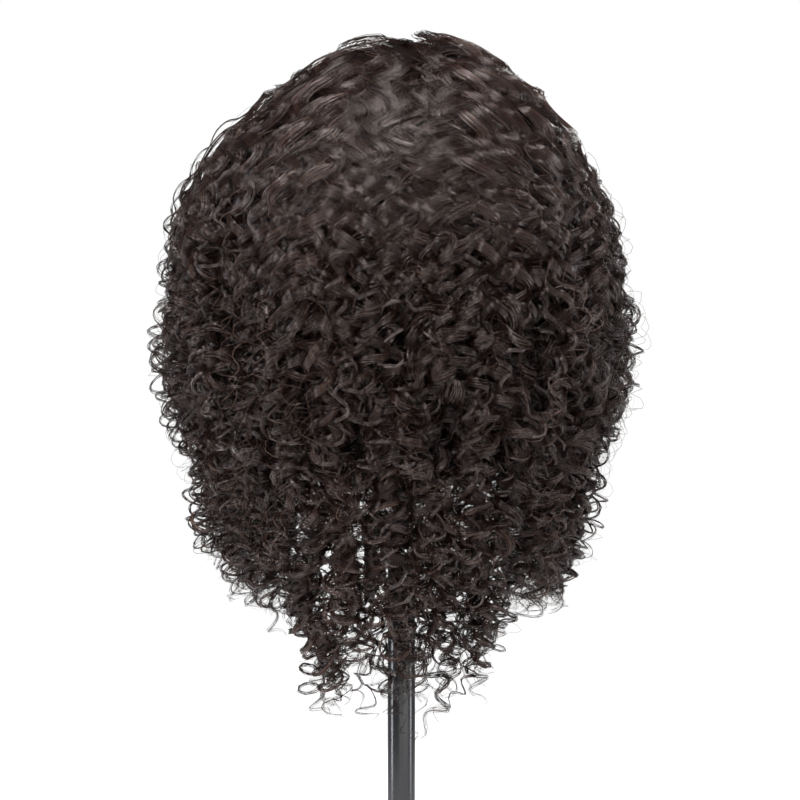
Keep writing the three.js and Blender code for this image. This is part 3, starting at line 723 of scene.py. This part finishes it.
class Sectors:
    """Slices of the head whose locks wave together, each with its own wave."""
    count = 26
    draw = np.random.default_rng(41)
    edges = np.sort((np.arange(count) + draw.uniform(-0.3, 0.3, count)) / count * 2 * np.pi)
    pitch = draw.uniform(0.0, 1.0, count)
    radius = draw.uniform(0.0, 1.0, count)
    phase = draw.uniform(0, 2 * np.pi, count)
    hand = np.where(draw.random(count) < 0.5, 1.0, -1.0)


def between(pair, share):
    return pair[0] + (pair[1] - pair[0]) * share


FRINGE_TILT = np.radians(42)  # lowest roots over the face


def layer(name, n, out, psi, strands, width, thick, radius, pitch, drift, samples, shades, seed,
          tips=None, lift=0.0, spread_z=0.030, slack=0.0007, lone=0.15):
    """One family of n locks. Pairs give the range that a value is drawn from.

    out is 0 at the scalp and 1 at the outside of the hair, and psi is the root's tilt in degrees.
    Each lock has some strands of a thickness side by side over its width. It winds with a radius,
    a pitch and a drift, and ends lift higher than the longest, plus spread_z on average. slack is
    how far strands stray, and lone the share of locks that don't wave with their sector.
    """
    draw = np.random.default_rng(seed)
    lock = SimpleNamespace(rng=draw, drift=drift)
    lock.angle = crowd_back((np.arange(n) + draw.uniform(-0.4, 0.4, n)) / n)
    start = (np.arange(n) + draw.random(n))[draw.permutation(n)] / n
    over_face = np.sin(lock.angle) < -0.45
    lock.psi = np.radians(between(psi, start))
    lock.psi = np.where(over_face, np.minimum(lock.psi, FRINGE_TILT), lock.psi)
    lock.out = between(out, draw.random(n))
    lock.z_end = end_height(lock.angle, lock.out) + lift + draw.exponential(spread_z, n) - 0.004
    lock.sector = np.searchsorted(Sectors.edges, lock.angle) % Sectors.count
    alone = draw.random(n) < lone
    lock.pitch = between(pitch, np.where(alone, draw.random(n), Sectors.pitch[lock.sector]))
    lock.radius = between(radius, np.where(alone, draw.random(n), Sectors.radius[lock.sector]))
    lock.radius = lock.radius * draw.uniform(0.85, 1.15, n)
    any_phase = draw.uniform(0, 2 * np.pi, n)
    lock.phase = np.where(alone, any_phase, Sectors.phase[lock.sector] + draw.normal(0, 0.4, n))
    lock.hand = np.where(alone & (draw.random(n) < 0.5), -1.0, 1.0) * Sectors.hand[lock.sector]
    guides(lock, samples)
    curl(lock)
    p, f, a = spread(lock, strands, between(width, draw.random(n)), slack)
    m = n * strands
    # Locks lying deeper in the hair get darker shades: painted shade, added to the random tone of each
    # lock and strand.
    depth = (lock.out - out[0]) / (out[1] - out[0]) - 0.6
    tone_and_depth_shade = np.repeat(draw.normal(0, 0.5, n) + 1.6 * depth, strands) + draw.normal(0, 0.8, m)
    lo, hi = shades
    shade = np.clip(np.round((lo + hi) / 2 + tone_and_depth_shade), lo, hi).astype(int)
    # Tips a shade or so lighter than the strand: painted light shining through the thin ends.
    tip = shade if tips is None else np.clip(shade + draw.integers(*tips, m), 0, len(SHADES) - 1)
    hair_pieces(name, p, f, a, thick * draw.uniform(0.8, 1.2, m), shade, tip)


def base_mass():
    """The dense mass of roots under the visible curls, as one closed shell over the scalp, coloured
    near-black and dull: the hair's dark colour deepened as painted shade.
    """
    columns, rows = 120, 46
    angle = np.arange(columns) / columns * 2 * np.pi
    over_face = 1 - smooth(np.abs(from_front(angle)), np.radians(48), np.radians(70))
    draw = np.random.default_rng(21)
    one = np.zeros(1, int)
    hem = waves(angle[None, :] * 0.1, one, (0.05, 0.021, 0.009), (0.010, 0.012, 0.006), draw)[0]
    low = 0.462 + hem
    dome_length = np.pi / 2 * ARC
    reach = (dome_length + HEAD_C[2] - low) * (1 - over_face) + np.radians(36) * ARC * over_face
    d = np.linspace(0, 1, rows)[None, :] * reach[:, None]
    tilt = np.minimum(d / ARC, np.pi / 2)
    z = HEAD_C[2] - np.maximum(d - dome_length, 0)
    turned = np.repeat(angle[:, None], rows, 1)
    in_dome = d < dome_length
    turned, tilt = swept(turned, tilt)
    skull, outer = hair_room(turned, tilt, z, in_dome)
    wobble = waves(d, np.arange(columns), (0.05, 0.022), (0.08, 0.07), draw)
    crown = 0.16 * (1 - smooth(d, 0.11, 0.19))
    thick = (0.50 + crown + wobble) * smooth(d, 0.0, 0.11) * smooth(reach[:, None] - d, -0.004, 0.05)
    thick = np.maximum(thick, 0.02)
    outside = over_head(skull + (outer - skull) * thick, turned, tilt, z, in_dome)
    inside = over_head(skull, turned, tilt, z, in_dome)
    shell = np.concatenate([outside[:, 1:], inside[:, :0:-1]], 1).transpose(1, 0, 2)
    points = np.concatenate([outside[:1, 0], shell.reshape(-1, 3), inside[:1, 0]])
    piece = new_piece("hair_roots", points, ring_faces(len(shell), columns), ROOTS_AND_SHADE)
    hang(piece)


def build_hair():
    base_mass()
    # The shade ranges get darker for the layers that lie nearer the scalp: painted shade inside the hair.
    layer("curls_inner", 56, out=(0.30, 0.65), psi=(8, 95), strands=5, width=(0.005, 0.007),
          thick=0.00036, radius=(0.006, 0.008), pitch=(0.045, 0.060), drift=0.010,
          samples=110, shades=(0, 2), seed=3, lift=0.025, slack=0.0004)
    layer("curls_middle", 86, out=(0.55, 0.82), psi=(5, 80), strands=9, width=(0.0045, 0.0065),
          thick=0.00029, radius=(0.0060, 0.0090), pitch=(0.044, 0.058), drift=0.013,
          samples=150, shades=(0, 3), seed=4, tips=(0, 2), lift=0.014, lone=0.4)
    layer("curls_outer", 158, out=(0.76, 0.97), psi=(2, 72), strands=12, width=(0.0048, 0.0072),
          thick=0.00025, radius=(0.0056, 0.0086), pitch=(0.044, 0.057), drift=0.013,
          samples=184, shades=(1, 4), seed=5, tips=(0, 2))
    layer("curls_crown", 62, out=(0.88, 1.00), psi=(0, 38), strands=18, width=(0.0080, 0.0105),
          thick=0.00026, radius=(0.0066, 0.0082), pitch=(0.050, 0.062), drift=0.006,
          samples=98, shades=(1, 4), seed=8, lift=0.20, slack=0.0005, lone=0.05)
    layer("curls_small", 120, out=(0.80, 1.05), psi=(25, 80), strands=5, width=(0.0014, 0.0022),
          thick=0.00029, radius=(0.0050, 0.0088), pitch=(0.038, 0.052), drift=0.013,
          samples=190, shades=(0, 3), seed=6, tips=(0, 2), spread_z=0.036, slack=0.0002, lone=0.8)
    layer("curls_fine", 280, out=(0.80, 1.06), psi=(20, 85), strands=1, width=(0.0010, 0.0020),
          thick=0.00013, radius=(0.0035, 0.0085), pitch=(0.032, 0.056), drift=0.015,
          samples=130, shades=(1, 5), seed=7, lift=0.004, spread_z=0.036, lone=1.0)


build_hair()


# ------------------------------------------------------------------ head
MM = 0.001
VINYL_WALL = 0.0045
LINING = 0.005  # from the outside of the vinyl to the foam core
foam_low, foam_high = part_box("foam_core")
NECK_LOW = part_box("head_shell")[0].z
HEAD_TOP = foam_high.z + LINING
HEAD_SIZE = (foam_high.x + LINING, LINING - foam_low.y, foam_high.y + LINING)  # half width, front, back
EYE_LOW, EYE_HIGH = (np.array(corner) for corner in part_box("eye_left"))
EYE = (EYE_LOW + EYE_HIGH) / 2
EYE_R = (EYE_HIGH[2] - EYE_LOW[2]) / 2

# The head without its features, from the neck up: height, half width, front and back as shares of
# the whole, and the roundness of the front (2 is an ellipse, less is more pointed).
HEAD_ROWS = np.array([
    (0.000, 0.72, 0.57, 0.62, 2.0), (0.060, 0.68, 0.51, 0.59, 2.0), (0.114, 0.67, 0.49, 0.58, 2.0),
    (0.212, 0.67, 0.54, 0.58, 2.0), (0.240, 0.67, 0.61, 0.59, 1.9), (0.257, 0.68, 0.78, 0.60, 1.8),
    (0.276, 0.70, 0.92, 0.60, 1.8), (0.300, 0.73, 0.97, 0.61, 1.8), (0.340, 0.77, 0.98, 0.64, 1.8),
    (0.391, 0.81, 0.97, 0.70, 1.9), (0.472, 0.87, 0.98, 0.82, 2.0), (0.554, 0.93, 0.98, 0.94, 2.1),
    (0.635, 0.98, 0.97, 1.00, 2.2), (0.717, 1.00, 0.98, 1.00, 2.3), (0.798, 0.97, 0.95, 0.96, 2.3),
    (0.879, 0.86, 0.83, 0.84, 2.2), (0.941, 0.66, 0.61, 0.64, 2.1), (0.977, 0.43, 0.38, 0.40, 2.0),
    (0.994, 0.22, 0.19, 0.21, 2.0), (1.000, 0.00, 0.00, 0.00, 2.0),
])


def head_outline(z):
    """Half width, front depth, back depth and roundness at the heights z, eased between the rows.

    The rows are read along the square root of the distance from the vertex, where a round top
    is a straight line.
    """
    def from_top(share):
        return np.sqrt(np.clip(1 - share, 0, 1))

    place = from_top((np.asarray(z, float) - NECK_LOW) / (HEAD_TOP - NECK_LOW))
    steps = np.linspace(-1, 1, 9)
    weight = 1 - 0.8 * steps ** 2
    reach = 0.055 - 0.048 * smooth(place, 0.50, 0.70)[..., None]
    at = np.abs(place[..., None] + steps * reach)
    rows = HEAD_ROWS[::-1]
    columns = []
    for k, size in zip(range(1, 5), (*HEAD_SIZE, 1.0)):
        values = np.interp(at, from_top(rows[:, 0]), rows[:, k])
        columns.append((values * weight).sum(-1) / weight.sum() * size)
    return columns


def bell(value, centre, spread):
    return np.exp(-((value - centre) / spread) ** 2)


def soft_max(a, b, reach):
    """The larger of two heights, rounded where they meet."""
    h = np.clip(0.5 + 0.5 * (a - b) / reach, 0, 1)
    return b + (a - b) * h + reach * h * (1 - h)


# The face is worked out in millimetres: x from the middle, z from the eye line.
MOUTH_Z = -64.0
LIP_HALF = 24.0
EYE_SPAN = (EYE[0] / MM - 11.8, EYE[0] / MM + 12.2)


def lid_lines(x):
    """Height of the upper and the lower lid's edge, and how far inside the eye's corners x is."""
    w = (np.abs(x) - EYE_SPAN[0]) / (EYE_SPAN[1] - EYE_SPAN[0])
    inside = np.clip(4 * w * (1 - w), 0, 1)
    middle = -1.2 + 2.2 * w
    return middle + 5.2 * inside ** 0.7, middle - 3.9 * inside ** 0.75, inside


def lip_lines(x):
    """Height of the line between the lips, and the thickness of the upper and the lower lip."""
    w = np.clip(1 - (x / LIP_HALF) ** 2, 0, 1)
    line = MOUTH_Z + 0.9 * (x / LIP_HALF) ** 2 - 0.7 * bell(x, 0, 5)
    upper = 7.2 * w ** 0.85 - 1.3 * bell(x, 0, 3.2) * w
    lower = 9.2 * w ** 0.6
    return line, upper, lower


def face_relief(x, z):
    """How far the features stand out from the plain head."""
    side = np.abs(x)
    out = 1.2 * bell(side, 20, 20) * bell(z, 48, 20)
    out += 2.4 * bell(side, 27, 17) * bell(z, 19, 8) + 1.2 * bell(x, 0, 12) * bell(z, 20, 9)
    out -= 6.0 * bell(side, 31, 15) * bell(z, -1, 12) + 3.0 * bell(side, 15, 5) * bell(z, 0, 8)
    out -= 1.5 * bell(side, 33, 12) * bell(z, -15, 6)
    out += 3.2 * bell(side, 40, 17) * bell(z, -27, 17)
    out -= 1.6 * bell(side, 30, 8) * bell(z, -50, 14)
    # nose: bridge, tip, wings, nostrils
    climb = np.clip((10 - z) / 45, 0, 1)
    bridge = 21.5 * climb ** 1.12 * smooth(z, -43.5, -34.5)
    width = 5.8 + 4.4 * smooth(-z, 8, 36) - 1.2 * bell(z, -6, 10)
    out += bridge * np.exp(-(side / width) ** 2.4)
    out += 2.2 * bell(x, 0, 6.5) * bell(z, -34, 5)
    out += 8.5 * bell(side, 12.2, 4.6) * bell(z, -35.5, 5.2)
    out -= 6.5 * bell(side, 6.6, 2.9) * bell(z, -41.5, 2.6)
    # mouth: the muzzle, the lips, the groove between them and the dip below
    out += 3.4 * bell(x, 0, 25) * bell(z, -60, 17)
    out -= 1.1 * bell(x, 0, 2.4) * bell(z, -50, 5.5)
    line, upper, lower = lip_lines(x)
    above = np.clip((z - line) / np.maximum(upper, 0.3), 0, 1)
    below = np.clip((line - z) / np.maximum(lower, 0.3), 0, 1)
    taper = smooth(LIP_HALF - side, 0.0, 11.0)
    out += 3.6 * np.sin(np.pi * above ** 0.75) ** 0.8 * taper
    out += 4.4 * np.sin(np.pi * below ** 0.72) ** 0.75 * taper
    out -= 2.4 * bell(z, line, 1.1) * smooth(LIP_HALF + 1.5 - side, 0.0, 5.0)
    out -= 1.2 * bell(side, LIP_HALF + 2, 3) * bell(z, MOUTH_Z + 1, 3.5)
    out -= 3.0 * bell(x, 0, 17) * bell(z, -80, 4.5)
    out += 4.6 * bell(x, 0, 16) * bell(z, -94, 9)
    return out


def face_depth(x, z, plain_depth):
    """Depth towards -Y of the finished face, all in millimetres, with lids round the eyeballs."""
    depth = plain_depth + face_relief(x, z)
    from_eye = (np.abs(x) - EYE[0] / MM) ** 2 + z ** 2
    radius = EYE_R / MM
    centre = -EYE[1] / MM

    def ball(r):
        return centre + np.sqrt(np.maximum(r * r - from_eye, 0))

    lid = np.where(from_eye < (radius + 1.2) ** 2, ball(radius + 1.3), -1e3)
    depth = soft_max(depth, lid, 4.0)
    upper, lower, inside = lid_lines(x)
    depth = depth - 1.0 * bell(z, upper + 3.6, 1.0) * smooth(inside, 0.0, 0.5)
    depth = depth - 0.5 * bell(z, lower - 3.2, 1.2) * smooth(inside, 0.0, 0.6)
    opening = smooth(upper - z, -0.25, 0.25) * smooth(z - lower, -0.25, 0.25) * (inside > 0.02)
    behind = np.maximum(ball(radius - 0.5), depth - 3.0)
    return depth + (behind - depth) * opening


def plain_depth(x, z):
    """Depth towards -Y of the featureless head at x, z in metres."""
    width, front, _, power = head_outline(z)
    return front * np.clip(1 - (np.abs(x) / width) ** power, 0, 1) ** (1 / power)


def on_face(x, z_mm):
    """Points of the finished face, x in metres and z in millimetres from the eye line."""
    z = EYE[2] + np.asarray(z_mm) * MM
    depth = face_depth(x / MM, z_mm, plain_depth(x, z) / MM) * MM
    return np.stack([x, -depth, z], -1)


HOLLOW_ROOM = 0.006  # extra thickness of the vinyl behind the eye sockets and the mouth


def head_ring(u, z, inset, featured=False):
    """Rings of the head at the heights z, drawn in by inset and further behind the face's hollows."""
    width, front, back, power = (v[:, None] for v in head_outline(z))
    c, s = np.cos(u)[None, :], np.sin(u)[None, :]
    front = front - HOLLOW_ROOM * smooth(z, 0.49, 0.52)[:, None] * (inset > 0)
    width, front, back = (np.maximum(size - inset, 0.0002) for size in (width, front, back))
    curve = 2 / np.where(s < 0, power, 2.0)
    x = np.sign(c) * np.abs(c) ** curve * width
    y = np.sign(s) * np.abs(s) ** curve * np.where(s < 0, front, back)
    z = np.repeat(z[:, None], len(u), 1)
    if featured:
        mm_z = (z - EYE[2]) / MM
        depth = face_depth(x / MM, mm_z, -y / MM)
        near = smooth(-s, 0.05, 0.45) * (z < HEAD_TOP - 0.02)
        y = y + (-depth * MM - y) * near
    return np.stack([x, y, z], -1)


FINE_HALF = 62  # degrees to each side of the nose that have the finer columns of points
FINE_STEP = 0.00062  # between rows of points over the face


def head_shell():
    """The vinyl skin: a featured outside and a plain inside, joined at the neck's rim."""
    front = np.radians(np.linspace(-90 - FINE_HALF, -90 + FINE_HALF, 330))
    rest = np.radians(np.linspace(-90 + FINE_HALF, 270 - FINE_HALF, 100)[1:-1])
    u = np.concatenate([front, rest])
    eye_z = EYE[2]
    fine = np.arange(eye_z + 0.028, eye_z - 0.108, -FINE_STEP)
    top = HEAD_TOP - (HEAD_TOP - fine[0]) * np.linspace(0.02, 1, 44)[:-1] ** 1.6
    neck = np.linspace(fine[-1], NECK_LOW, 26)[1:]
    outside = head_ring(u, np.concatenate([top, fine, neck]), 0.0, True)
    inner_top = HEAD_TOP - VINYL_WALL
    heights = inner_top - (inner_top - NECK_LOW) * np.linspace(0.02, 1, 24) ** 1.5
    inside = head_ring(u, heights[::-1], VINYL_WALL)
    rows = np.concatenate([outside, inside])
    points = np.concatenate([[(0, 0, HEAD_TOP)], rows.reshape(-1, 3), [(0, 0, inner_top)]])
    piece = new_piece("head_skin", points, ring_faces(len(rows), len(u)), SKIN)
    x = points[:, 0] / MM
    z = (points[:, 2] - eye_z) / MM
    line, upper, lower = lip_lines(x)
    on_lips = smooth(line + upper - z, -0.4, 0.6) * smooth(z - line + lower, -0.4, 0.6)
    on_lips = on_lips * (points[:, 1] < -0.05) * smooth(LIP_HALF - np.abs(x), 0.0, 1.5)
    tint = piece.data.attributes.new("lips", "FLOAT", "POINT")
    tint.data.foreach_set("value", on_lips.astype(np.float32))
    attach(piece, "head")
    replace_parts(piece, "head_shell")


FOAM_GAP = 0.0003  # between the foam and what sits in it


def foam_filling():
    """The foam that fills the vinyl, with the bore for the socket sleeve."""
    u = np.arange(72) / 72 * 2 * np.pi
    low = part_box("neck_plug")[1].z + FOAM_GAP
    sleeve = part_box("socket_sleeve")[1]
    bore, bore_top = sleeve.x + FOAM_GAP, sleeve.z + 0.003
    circle = np.stack([bore * np.cos(u), bore * np.sin(u), np.zeros(len(u))], -1)
    bore_rows = [circle + (0, 0, z) for z in (bore_top, low)]
    inset = LINING + 0.0005
    top = HEAD_TOP - inset
    rows = np.concatenate([bore_rows, head_ring(u, np.linspace(low, top - 0.0005, 60), inset)])
    points = np.concatenate([[(0, 0, bore_top)], rows.reshape(-1, 3), [(0, 0, top)]])
    piece = new_piece("foam_filling", points, ring_faces(len(rows), len(u)), FOAM)
    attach(piece, "head")
    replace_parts(piece, "foam_core")


EAR_AT = (0.0725, 0.014, 0.616)


def ear(side):
    """An ear as a thin bowl: rim, inner ridge, hollow and lobe on a leaf-shaped outline."""
    rings, spokes = 26, 72
    x, y, z = EAR_AT
    phi = np.arange(spokes) / spokes * 2 * np.pi
    outline = 0.0275 + 0.0035 * np.sin(phi) + 0.0016 * np.cos(2 * phi)
    points = []
    for face in (1, -1):
        for r in np.linspace(1, 0, rings)[:-1] if face < 0 else np.linspace(0.03, 1, rings):
            rim = 4.0 * bell(r, 0.90, 0.09) * smooth(np.sin(phi), -0.9, -0.3)
            ridge = 2.6 * bell(r, 0.60, 0.10) * smooth(np.cos(phi + 0.5), -0.3, 0.5)
            hollow = -3.5 * bell(r, 0.1, 0.30)
            lobe = 1.5 * bell(r, 0.7, 0.3) * smooth(-np.sin(phi), 0.6, 0.95)
            height = (rim + ridge + hollow + lobe + 2.0) if face > 0 else np.full(spokes, -2.0)
            along = np.cos(phi) * outline * 0.58 * r
            up = np.sin(phi) * outline * r
            lean = 0.35 * along + height * MM * (1 - 0.6 * r ** 8)
            points.append(np.stack([side * (x + lean), y + along + 0.1 * up, z + up], -1))
    rows = np.array(points)
    points = np.concatenate([[rows[0].mean(0)], rows.reshape(-1, 3), [rows[-1].mean(0)]])
    name = "ear_left" if side > 0 else "ear_right"
    piece = new_piece(name, points, ring_faces(len(rows), spokes), SKIN)
    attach(piece, "head")


def short_hairs(name, lines, radius):
    """Short tapered hairs along the given lines, as six-sided tubes in one mesh."""
    lines = np.array(lines)
    tangent = unit(np.gradient(lines, axis=1))
    across = unit(np.cross(tangent, (0.31, 0.17, 0.93)))
    up = np.cross(across, tangent)
    taper = radius * (1 - np.linspace(0, 1, lines.shape[1]) ** 2 * 0.85)
    r = np.tile(taper, (len(lines), 1))
    piece = tube_mesh(name, lines, across, up, r, np.radians(np.arange(6) * 60), [LASH])
    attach(piece, "head")
    return piece


def lashes(side, name, node):
    """Upper and lower lashes, fanned out along the edges of the lids."""
    draw = np.random.default_rng(31 if side > 0 else 32)
    lines = []
    for edge, count, length, lift in ((0, 62, 8.0, 1.0), (1, 34, 4.0, -0.7)):
        for w in np.linspace(0.05, 0.97, count):
            x = EYE_SPAN[0] + (EYE_SPAN[1] - EYE_SPAN[0]) * (w + draw.normal(0, 0.004))
            z = lid_lines(np.array([x]))[edge][0] + 0.45 * lift
            root = on_face(np.array([x * MM]), np.array([z]))[0]
            size = length * MM * (0.65 + 0.5 * w) * draw.uniform(0.85, 1.1)
            t = np.linspace(0, 1, 7)[:, None]
            fan = np.array([(w - 0.42) * 1.1 + draw.normal(0, 0.05), -1.0, 0.0])
            rise = np.array([0.0, 0.0, lift])
            line = root + size * (fan * (t - 0.25 * t ** 2) + rise * (0.15 * t + 0.75 * t ** 2))
            line[:, 0] *= side
            lines.append(line)
    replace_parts(short_hairs(name, lines, 0.00011), node)


def brow(side, name):
    """An eyebrow of short hairs lying outwards along the edge of the socket."""
    draw = np.random.default_rng(33 if side > 0 else 34)
    lines = []
    for _ in range(230):
        w = draw.random()
        x = 13 + 37 * w
        middle = 16.5 + 6.0 * np.sin(np.pi * min(w / 1.45, 1)) - 5.5 * w ** 4
        z = middle + draw.uniform(-1, 1) * (2.6 - 1.7 * w)
        lean = 1.05 - 1.15 * w + draw.normal(0, 0.12)
        length = draw.uniform(5.0, 7.5)
        t = np.linspace(0, 1, 6)
        xs = x + length * t * np.cos(lean)
        zs = z + length * t * np.sin(lean) * (1 - 0.35 * t)
        line = on_face(xs * MM, zs)
        line[:, 1] -= (0.10 + 0.35 * np.sin(np.pi * t)) * MM
        line[:, 0] *= side
        lines.append(line)
    short_hairs(name, lines, 0.00010)


def eyeball(side, name, node):
    """A glossy eye with a slightly raised cornea, looking along -Y."""
    rows, columns = 64, 96
    polar = np.linspace(0, np.pi, rows + 1)[1:-1]
    turn = np.arange(columns) / columns * 2 * np.pi
    radius = EYE_R * 0.995 + 0.0004 * smooth(np.radians(34) - polar, 0.0, np.radians(14))
    x = (radius * np.sin(polar))[:, None] * np.cos(turn)
    z = (radius * np.sin(polar))[:, None] * np.sin(turn)
    y = -(radius * np.cos(polar))[:, None] * np.ones(columns)
    ball = np.stack([x, y, z], -1).reshape(-1, 3)
    points = np.concatenate([[(0, -radius[0], 0)], ball, [(0, radius[-1], 0)]])
    piece = new_piece(name, points, ring_faces(len(polar), columns), EYE_LOOK)
    piece.location = (side * EYE[0], EYE[1], EYE[2])
    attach(piece, "head")
    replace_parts(piece, node)


def build_head():
    head_shell()
    foam_filling()
    for side, name in ((1, "left"), (-1, "right")):
        ear(side)
        eyeball(side, f"eyeball_{name}", f"eye_{name}")
        lashes(side, f"lashes_{name}", f"eyelashes_{name}")
        brow(side, f"brow_{name}")


build_head()
finish_stand()


# ------------------------------------------------------------------ stage
ROOM_LIGHT = 0.10  # light that the white floor and backdrop give to the object


def for_camera(tree, socket, seen, unseen):
    """Drives a strength with one value for what the camera sees and another for the light it gives."""
    path = tree.nodes.new("ShaderNodeLightPath")
    level = tree.nodes.new("ShaderNodeMix")
    level.inputs["A"].default_value = unseen
    level.inputs["B"].default_value = seen
    tree.links.new(path.outputs["Is Camera Ray"], level.inputs["Factor"])
    tree.links.new(level.outputs["Result"], socket)


def stage():
    floor_mesh = bpy.data.meshes.new("floor")
    half = 40.0
    corners = [(-half, -half, 0), (half, -half, 0), (half, half, 0), (-half, half, 0)]
    floor_mesh.from_pydata(corners, [], [(0, 1, 2, 3)])
    floor = new_object("floor", floor_mesh)
    floor.location.z = -0.0005
    pale, tree, bsdf = plain("floor_pale", (0.8, 0.8, 0.8), 0.9)
    bsdf.inputs["Emission Color"].default_value = (1, 1, 1, 1)
    for_camera(tree, bsdf.inputs["Emission Strength"], 0.94, ROOM_LIGHT)
    floor_mesh.materials.append(pale)


def area(name, where, aim, size, power, color=(1, 1, 1)):
    data = bpy.data.lights.new(name, "AREA")
    data.shape = "RECTANGLE"
    data.size, data.size_y = size
    data.energy = power
    data.color = color
    lamp = new_object(name, data)
    lamp.location = where
    lamp.rotation_euler = (Vector(aim) - Vector(where)).to_track_quat("-Z", "Y").to_euler()


def lights():
    """A white backdrop for the camera, a weaker white room for the object, and soft boxes."""
    world = bpy.data.worlds.new("studio")
    bpy.context.scene.world = world
    world.use_nodes = True
    tree = world.node_tree
    backdrop = tree.nodes["Background"]
    backdrop.inputs["Color"].default_value = (1, 1, 1, 1)
    for_camera(tree, backdrop.inputs["Strength"], 1.0, ROOM_LIGHT)
    area("top_box", (0.0, 0.7, 2.2), (0, 0, 0.65), (1.4, 0.9), 55)
    area("key", (0.9, 2.0, 1.5), (0, 0, 0.55), (0.7, 0.7), 50)
    area("front_wide", (-0.2, 2.7, 0.6), (0, 0, 0.5), (2.2, 1.1), 15)
    area("front_side", (-1.7, 1.9, 0.6), (0, 0, 0.5), (1.6, 1.1), 14)
    area("strip_left", (1.72, 0.15, 0.6), (0, 0, 0.45), (0.22, 1.8), 26, (0.90, 0.93, 1.0))
    area("strip_right", (-1.72, 0.12, 0.6), (0, 0, 0.45), (0.16, 1.8), 20, (0.92, 0.94, 1.0))
    area("face_fill", (-0.5, -2.2, 1.2), (0, 0, 0.5), (1.2, 1.2), 21)
    bpy.context.scene.view_settings.view_transform = "Standard"


def camera():
    """Level, straight behind the head and facing -Y."""
    data = bpy.data.cameras.new("camera")
    cam = new_object("camera", data)
    distance = 2.5
    shown = 0.5818  # width of the object's middle plane that fills the picture
    data.sensor_width = 36
    data.lens = data.sensor_width * distance / shown
    cam.location = (0.001, distance, 0.5067)
    cam.rotation_euler = (math.radians(90), 0, math.radians(180))
    bpy.context.scene.camera = cam


stage()
lights()
camera()

HAIR_NODES = [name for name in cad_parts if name.startswith("hair_")]
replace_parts(bpy.data.objects["curls_outer_1"], *HAIR_NODES)
